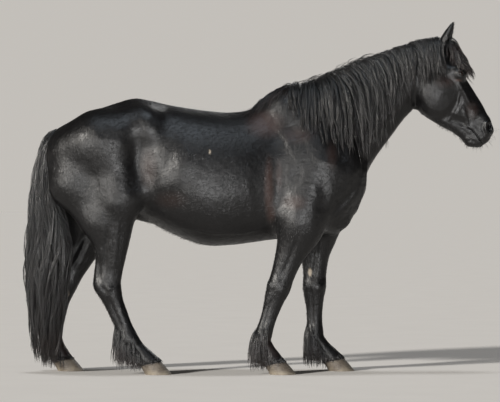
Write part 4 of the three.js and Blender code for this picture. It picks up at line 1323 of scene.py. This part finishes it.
def lash_paths(side, count=34):
    """Lashes on the edge of the upper lid."""
    long = np.linspace(-15, 15, count)
    high = LID_OPEN[1] * (1 - (long / LID_OPEN[0]) ** 2)
    away = np.sqrt((EYE_RADIUS + LID) ** 2 - long**2 - high**2) - 1.5
    roots = long[:, None] * EYE_LONG + high[:, None] * EYE_HIGH + away[:, None] * EYE_OUT
    heading = EYE_OUT - 0.35 * EYE_HIGH + long[:, None] / 40 * EYE_LONG + rng.normal(0, 0.1, (count, 3))
    roots, heading = roots * (1, side, 1) + mirrored(EYE, side), heading * (1, side, 1)
    return fall(skin, roots, heading, rng.uniform(12, 18, count), np.zeros(count), 0.1, 6)


def whisker_paths(count):
    """Whiskers of the lips and chin."""
    roots, out = spots(count, (skin_map.middle[:, 0] > 1150) & (skin_map.middle[:, 2] < 1340))
    return fall(skin, roots, out + (0.1, 0, -0.2), rng.uniform(20, 44, count), np.zeros(count), 0.06, 6, 0.05)


lashes = np.concatenate([lash_paths(1), lash_paths(-1), whisker_paths(70)])
hair("lashes_and_whiskers", lashes, (0.35, 0.5), hair_material)


# ---------- the short coat ----------
def face_and_foot(p):
    """How much points belong to the face and to the feet."""
    return ramp(p[:, 0], 900, 1020), ramp(p[:, 2], 420, 220)


def coat_paths(count):
    """Short tufts that lie flat, smallest on the face and feet, with their normals and sizes."""
    middle = skin_map.middle
    face, foot = face_and_foot(middle)
    seen = (1 + 2.2 * face + 1.4 * foot) * (bare_at(middle) < 0.4)
    roots, out = spots(count, seen)
    order = np.argsort(roots[:, 0])
    roots, out = roots[order], out[order]
    face, foot = face_and_foot(roots)
    size = 1 - 0.6 * np.maximum(face, 0.7 * foot)
    way = lie_at(roots) + rng.normal(0, 0.13, (count, 3))
    way = unit(way - out * (way * out).sum(1)[:, None])
    length = rng.uniform(16, 30, count) * size
    paths = [roots - out * 0.8]
    for share, lift in ((0.5, (0.3, 0.8)), (1.0, (0.1, 1.3))):
        p = roots + way * (length * share)[:, None]
        d, g = slope(skin, p, 1.5)
        reach = rng.uniform(*lift, count) * size - d
        paths.append(p + unit(g) * np.clip(reach, -8, 8)[:, None])
    return np.stack(paths, 1), out, size


short, normals, sizes = coat_paths(45_500)
hair("coat_tufts", short, (1.2, 2.1), coat_material, flat=0.16, facing=normals,
     smooth=False, scale=sizes)


# ---------- eyes ----------
IRIS = 13.5         # radius
PUPIL = (8.2, 4.6)  # half length and half height
IRIS_DARK, IRIS_LIGHT = (0.010, 0.005, 0.003, 1), (0.034, 0.015, 0.008, 1)
WHITE_OF_EYE = (0.035, 0.022, 0.018, 1)
IRIS_RIM = (0.008, 0.005, 0.004, 1)
PUPIL_BLACK = (0.0012, 0.0014, 0.002, 1)


def eye_finish():
    """Dark brown iris with a level oval pupil, under a clear wet surface."""
    f = Finish("eye", IOR=1.45, Coat_Weight=1.0, Coat_Roughness=0.02)
    long, high = f.attribute("long"), f.attribute("high")

    def oval(half_long, half_high):
        a = f.math("DIVIDE", long, half_long)
        b = f.math("DIVIDE", high, half_high)
        return f.math("SQRT", f.math("ADD", f.math("MULTIPLY", a, a), f.math("MULTIPLY", b, b)))

    rays = f.noise(f.place(), 900, 3)
    iris = f.blend(rays, IRIS_DARK, IRIS_LIGHT)
    ring = oval(IRIS, IRIS)
    white = f.blend(f.ramp(ring, 0.94, 1.08), iris, WHITE_OF_EYE)
    rim = f.blend(f.ramp(ring, 0.74, 0.96), white, IRIS_RIM)
    edge = f.blend(f.ramp(ring, 1.0, 1.1), rim, white)
    colour = f.blend(f.ramp(oval(*PUPIL), 1.08, 0.96), edge, PUPIL_BLACK)
    return f.surface(colour, f.ramp(rays, 0, 1, 0.10, 0.16))


def eye_object(name, side, material, rings=34, around=48):
    """A ball with a rounder cornea in front. Its poles lie on the line out of the head."""
    a = np.linspace(0, np.pi, rings)[1:-1, None]
    b = np.linspace(0, 2 * np.pi, around, endpoint=False)[None]
    r = EYE_RADIUS - 1.0 + 0.9 * dome(a, 0.8) ** 1.5 + 0 * b
    long, high, out = r * np.sin(a) * np.cos(b), r * np.sin(a) * np.sin(b), r * np.cos(a) + 0 * b
    parts = [np.concatenate([[0.0], v.ravel(), [0.0]]) for v in (long, high)]
    parts.append(np.concatenate([[EYE_RADIUS - 0.1], out.ravel(), [1.0 - EYE_RADIUS]]))
    local = np.stack(parts, 1)
    points = (local @ np.stack([EYE_LONG, EYE_HIGH, EYE_OUT])) * (1, side, 1) + mirrored(EYE, side)
    made = make_mesh(name, points, tube_faces(rings - 2, around, 1, side))
    put(made, "long", local[:, 0])
    put(made, "high", local[:, 1])
    made.data.materials.append(material)
    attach(made, "root")
    return made


def tube_faces(rings, around, first, turn=1):
    """Faces between rings of points, closed by a single point before them and one after."""
    k, j = np.meshgrid(np.arange(rings - 1), np.arange(around), indexing="ij")
    after = (j + 1) % around
    quads = np.stack([k * around + j, (k + 1) * around + j, (k + 1) * around + after, k * around + after], -1)
    quads = quads.reshape(-1, 4) + first
    j = np.arange(around)
    after = (j + 1) % around
    start = np.stack([first + j, first + after, 0 * j + first - 1], 1)
    base = first + (rings - 1) * around
    end = np.stack([base + after, base + j, 0 * j + base + around], 1)
    faces = [quads, start, end]
    return [f[:, ::-1] for f in faces] if turn < 0 else faces


eye_material = eye_finish()
for name, side in SIDES.items():
    made = eye_object(f"eyeball_{name}", side, eye_material)
    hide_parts(f"eye_{name}")


# ---------- hooves ----------
HORN_DARK, HORN_LIGHT, HORN_CLOUD = (0.050, 0.040, 0.032, 1), (0.135, 0.110, 0.085, 1), (0.19, 0.165, 0.13, 1)
DUST = (0.24, 0.205, 0.155, 1)
# painted shade: the colour that darkens the upper edge of the hoof wall, under the hair of the coronet
CORONET_PAINTED_SHADE = (0.028, 0.022, 0.019, 1)


def hoof_finish():
    """Grey-brown horn with growth rings, fine upright streaks, dust at the ground and painted shade along its
    upper edge.
    """
    f = Finish("hoof", IOR=1.5)
    streaks = f.noise(f.place((1, 1, 0.08)), 330, 3, 0.6)
    clouds = f.noise(f.place(), 28, 3)
    down = f.attribute("down")
    horn = f.blend(f.ramp(streaks, 0.3, 0.7), HORN_DARK, HORN_LIGHT)
    horn = f.blend(f.ramp(clouds, 0.4, 0.75, 0, 0.6), horn, HORN_CLOUD)
    dusty = f.math("MULTIPLY", f.ramp(down, 0.55, 1), f.ramp(clouds, 0.25, 0.6))
    # the upper edge of the wall is darkened as painted shade under the coronet's hair
    colour = f.blend(f.ramp(down, 0.14, 0.0), f.blend(dusty, horn, DUST), CORONET_PAINTED_SHADE)
    return f.surface(colour, f.ramp(clouds, 0.2, 0.8, 0.45, 0.68), f.bump(streaks, FUR_BUMP))


def hoof_object(name, material, levels=24, around=64):
    """The horn wall, with growth rings, heel bulbs and a hollow sole with its frog."""
    cx, cy, cz = rims[name]
    t = np.linspace(0, 1, levels)[:, None]
    a = np.linspace(0, 2 * np.pi, around, endpoint=False)[None]
    ahead, across = np.cos(a), np.sin(a)
    behind = a - np.pi

    def bell(value, middle, width):
        return np.exp(-((value - middle) / width) ** 2)

    growth = 0.5 * np.sin(2 * np.pi * (6.2 * t + 0.12 * np.sin(3 * a)))
    growth = growth + 0.25 * np.sin(2 * np.pi * 15 * t + 2 * ahead)
    bulbs = bell(behind, 0.42, 0.26) + bell(behind, -0.42, 0.26) - 1.6 * bell(behind, 0, 0.13)
    bulbs = bulbs * np.clip(4 * (t - 0.15), 0, 1)
    lift = -1.2 + growth * (1 - bulbs.clip(0, 1)) + 1.4 * bell(t, 0.9, 0.06) + 1.8 * bulbs
    lift = lift + 0.9 * (1 - t) ** 4 - 4 * np.clip((t - 0.95) / 0.05, 0, 1) ** 2
    narrow = np.where(ahead < 0, 1 - 0.12 * ahead**2, 1)
    x = (TOE_RUN + HEEL_RUN) / 2 * (1 - t) + (HOOF_HALF + (RIM - HOOF_HALF) * t + lift) * ahead
    y = (HOOF_WIDTH / 2 + (RIM_WIDE - HOOF_WIDTH / 2) * t + lift) * across * narrow
    z = t * (cz + CORONET_DROP * x - 0.6)
    rows = [(x[k], y[k], z[k]) for k in range(levels)]

    def ring(level, share, height):
        bx, by, bz = rows[level]
        mx, my, mz = bx.mean(), by.mean(), bz.mean()
        frog = 5 * np.exp(-((by * share) / (9 + 0.12 * (mx - bx))) ** 2) * (bx < mx + 20)
        rise = height - np.minimum(frog * (height > 1), height - 0.5) if level == 0 else height + bz - mz
        return mx + (bx - mx) * share, my + (by - my) * share, (0 if level == 0 else mz) + rise + 0 * bx

    rows = [ring(0, 0.3, 6.0), ring(0, 0.6, 5.5), ring(0, 0.84, 4.5), ring(0, 0.88, 0.0)] + rows
    rows.append(ring(-1, 0.7, -3.0))
    points = np.stack([np.stack(row, 1) for row in rows])
    down = np.concatenate([np.ones(4), 1 - t[:, 0], [0.0]])
    points = points.reshape(-1, 3)
    ends = [points[:around].mean(0), points[-around:].mean(0)]
    points = np.concatenate([[ends[0]], points, [ends[1]]]) + (cx, cy, 0)
    made = make_mesh(f"horn_{name}", points, tube_faces(len(rows), around, 1, -1))
    put(made, "down", np.concatenate([[1.0], np.repeat(down, around), [0.0]]))
    made.data.materials.append(material)
    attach(made, "root")
    return made


hoof_material = hoof_finish()
for name in rims:
    end, side = name.split("_")
    made = hoof_object(name, hoof_material)
    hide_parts(f"{end}_hoof_{side}")


# ---------- stage ----------
# the area lights are for the model alone, so that the floor stays even
model = bpy.data.collections.new("model")
for piece in [o for o in bpy.context.scene.objects if o.type == "MESH"]:
    model.objects.link(piece)


def light(name, kind, toward, power, colour, lit, **settings):
    """A light that shines one way, on one collection or, where that is None, on everything."""
    data = bpy.data.lights.new(name, kind)
    data.energy = power
    data.color = colour
    for key, value in settings.items():
        setattr(data, key, value)
    made = bpy.data.objects.new(name, data)
    made.rotation_euler = Vector(toward).to_track_quat("-Z", "Y").to_euler()
    made.light_linking.receiver_collection = lit
    bpy.context.scene.collection.objects.link(made)
    return made


def area_light(name, place, target, size, power, colour=(1, 1, 1)):
    toward = Vector(target) - Vector(place)
    made = light(name, "AREA", toward, power, colour, model, shape="DISK", size=size)
    made.location = place
    made.visible_camera = False


def studio_world(colour, fill):
    """Even walls round the floor, seen at full brightness but dim to the coat."""
    world = bpy.data.worlds.new("studio")
    world.use_nodes = True
    nodes, links = world.node_tree.nodes, world.node_tree.links
    nodes["Background"].inputs[0].default_value = (*colour, 1)
    seen = nodes.new("ShaderNodeLightPath")
    level = nodes.new("ShaderNodeMapRange")
    level.inputs["To Min"].default_value = fill
    level.inputs["To Max"].default_value = 1.0
    links.new(seen.outputs["Is Camera Ray"], level.inputs["Value"])
    links.new(level.outputs["Result"], nodes["Background"].inputs[1])
    bpy.context.scene.world = world


STONE = np.array([0.90, 0.885, 0.865])
KEY, KEY_COLOUR, KEY_TOWARD = 3.2, np.array([1.0, 0.96, 0.9]), Vector((0.70, 0.62, -0.36)).normalized()
OVERHEAD = 0.6      # for the floor alone
FLOOR_HALF = 200_000.0
FILL = 0.09         # share of the walls' brightness that lights the coat, so that it stays black
# the walls are as bright as the far floor, so that no line shows between them
wall = STONE * (KEY * -KEY_TOWARD.z * KEY_COLOUR + OVERHEAD) / math.pi / (1 - FILL * STONE)
corners = np.array([(-1, -1, 0), (1, -1, 0), (1, 1, 0), (-1, 1, 0)]) * FLOOR_HALF
floor = make_mesh("floor", corners, [np.array([[0, 1, 2, 3]])])
stone = Finish("floor", Roughness=0.9, Specular_IOR_Level=0.0)
grain = stone.noise(stone.place(), 3, 3)
floor.data.materials.append(stone.surface(stone.blend(grain, (*(0.97 * STONE), 1), (*(1.03 * STONE), 1))))
ground = bpy.data.collections.new("ground")
ground.objects.link(floor)
studio_world(wall, FILL)
bpy.context.scene.view_settings.view_transform = "Standard"
light("key", "SUN", KEY_TOWARD, KEY, KEY_COLOUR, None, angle=math.radians(5))
light("overhead", "SUN", (0, 0, -1), OVERHEAD, (1, 1, 1), ground, angle=math.radians(10))
area_light("front", (-4.5, -6.5, 1.3), (-0.1, 0, 1.0), 2.2, 185, (1.0, 0.98, 0.95))
area_light("low", (0.5, -7.5, 0.6), (0.1, 0, 1.0), 2.4, 300)
area_light("rim", (2, 6, 5), (0, 0, 1.2), 3, 160)
area_light("sky", (0, -2.5, 6), (0, 0, 1.2), 4, 110, (0.8, 0.9, 1.0))

CAMERA_PLACE = (-0.052, -14, 0.943)
LENS = 183.3        # for a sensor 36 mm wide
camera = bpy.data.objects.new("camera", bpy.data.cameras.new("camera"))
camera.location = CAMERA_PLACE
camera.rotation_euler = (math.pi / 2, 0, 0)
camera.data.sensor_width = 36
camera.data.lens = LENS
bpy.context.scene.collection.objects.link(camera)
bpy.context.scene.camera = camera
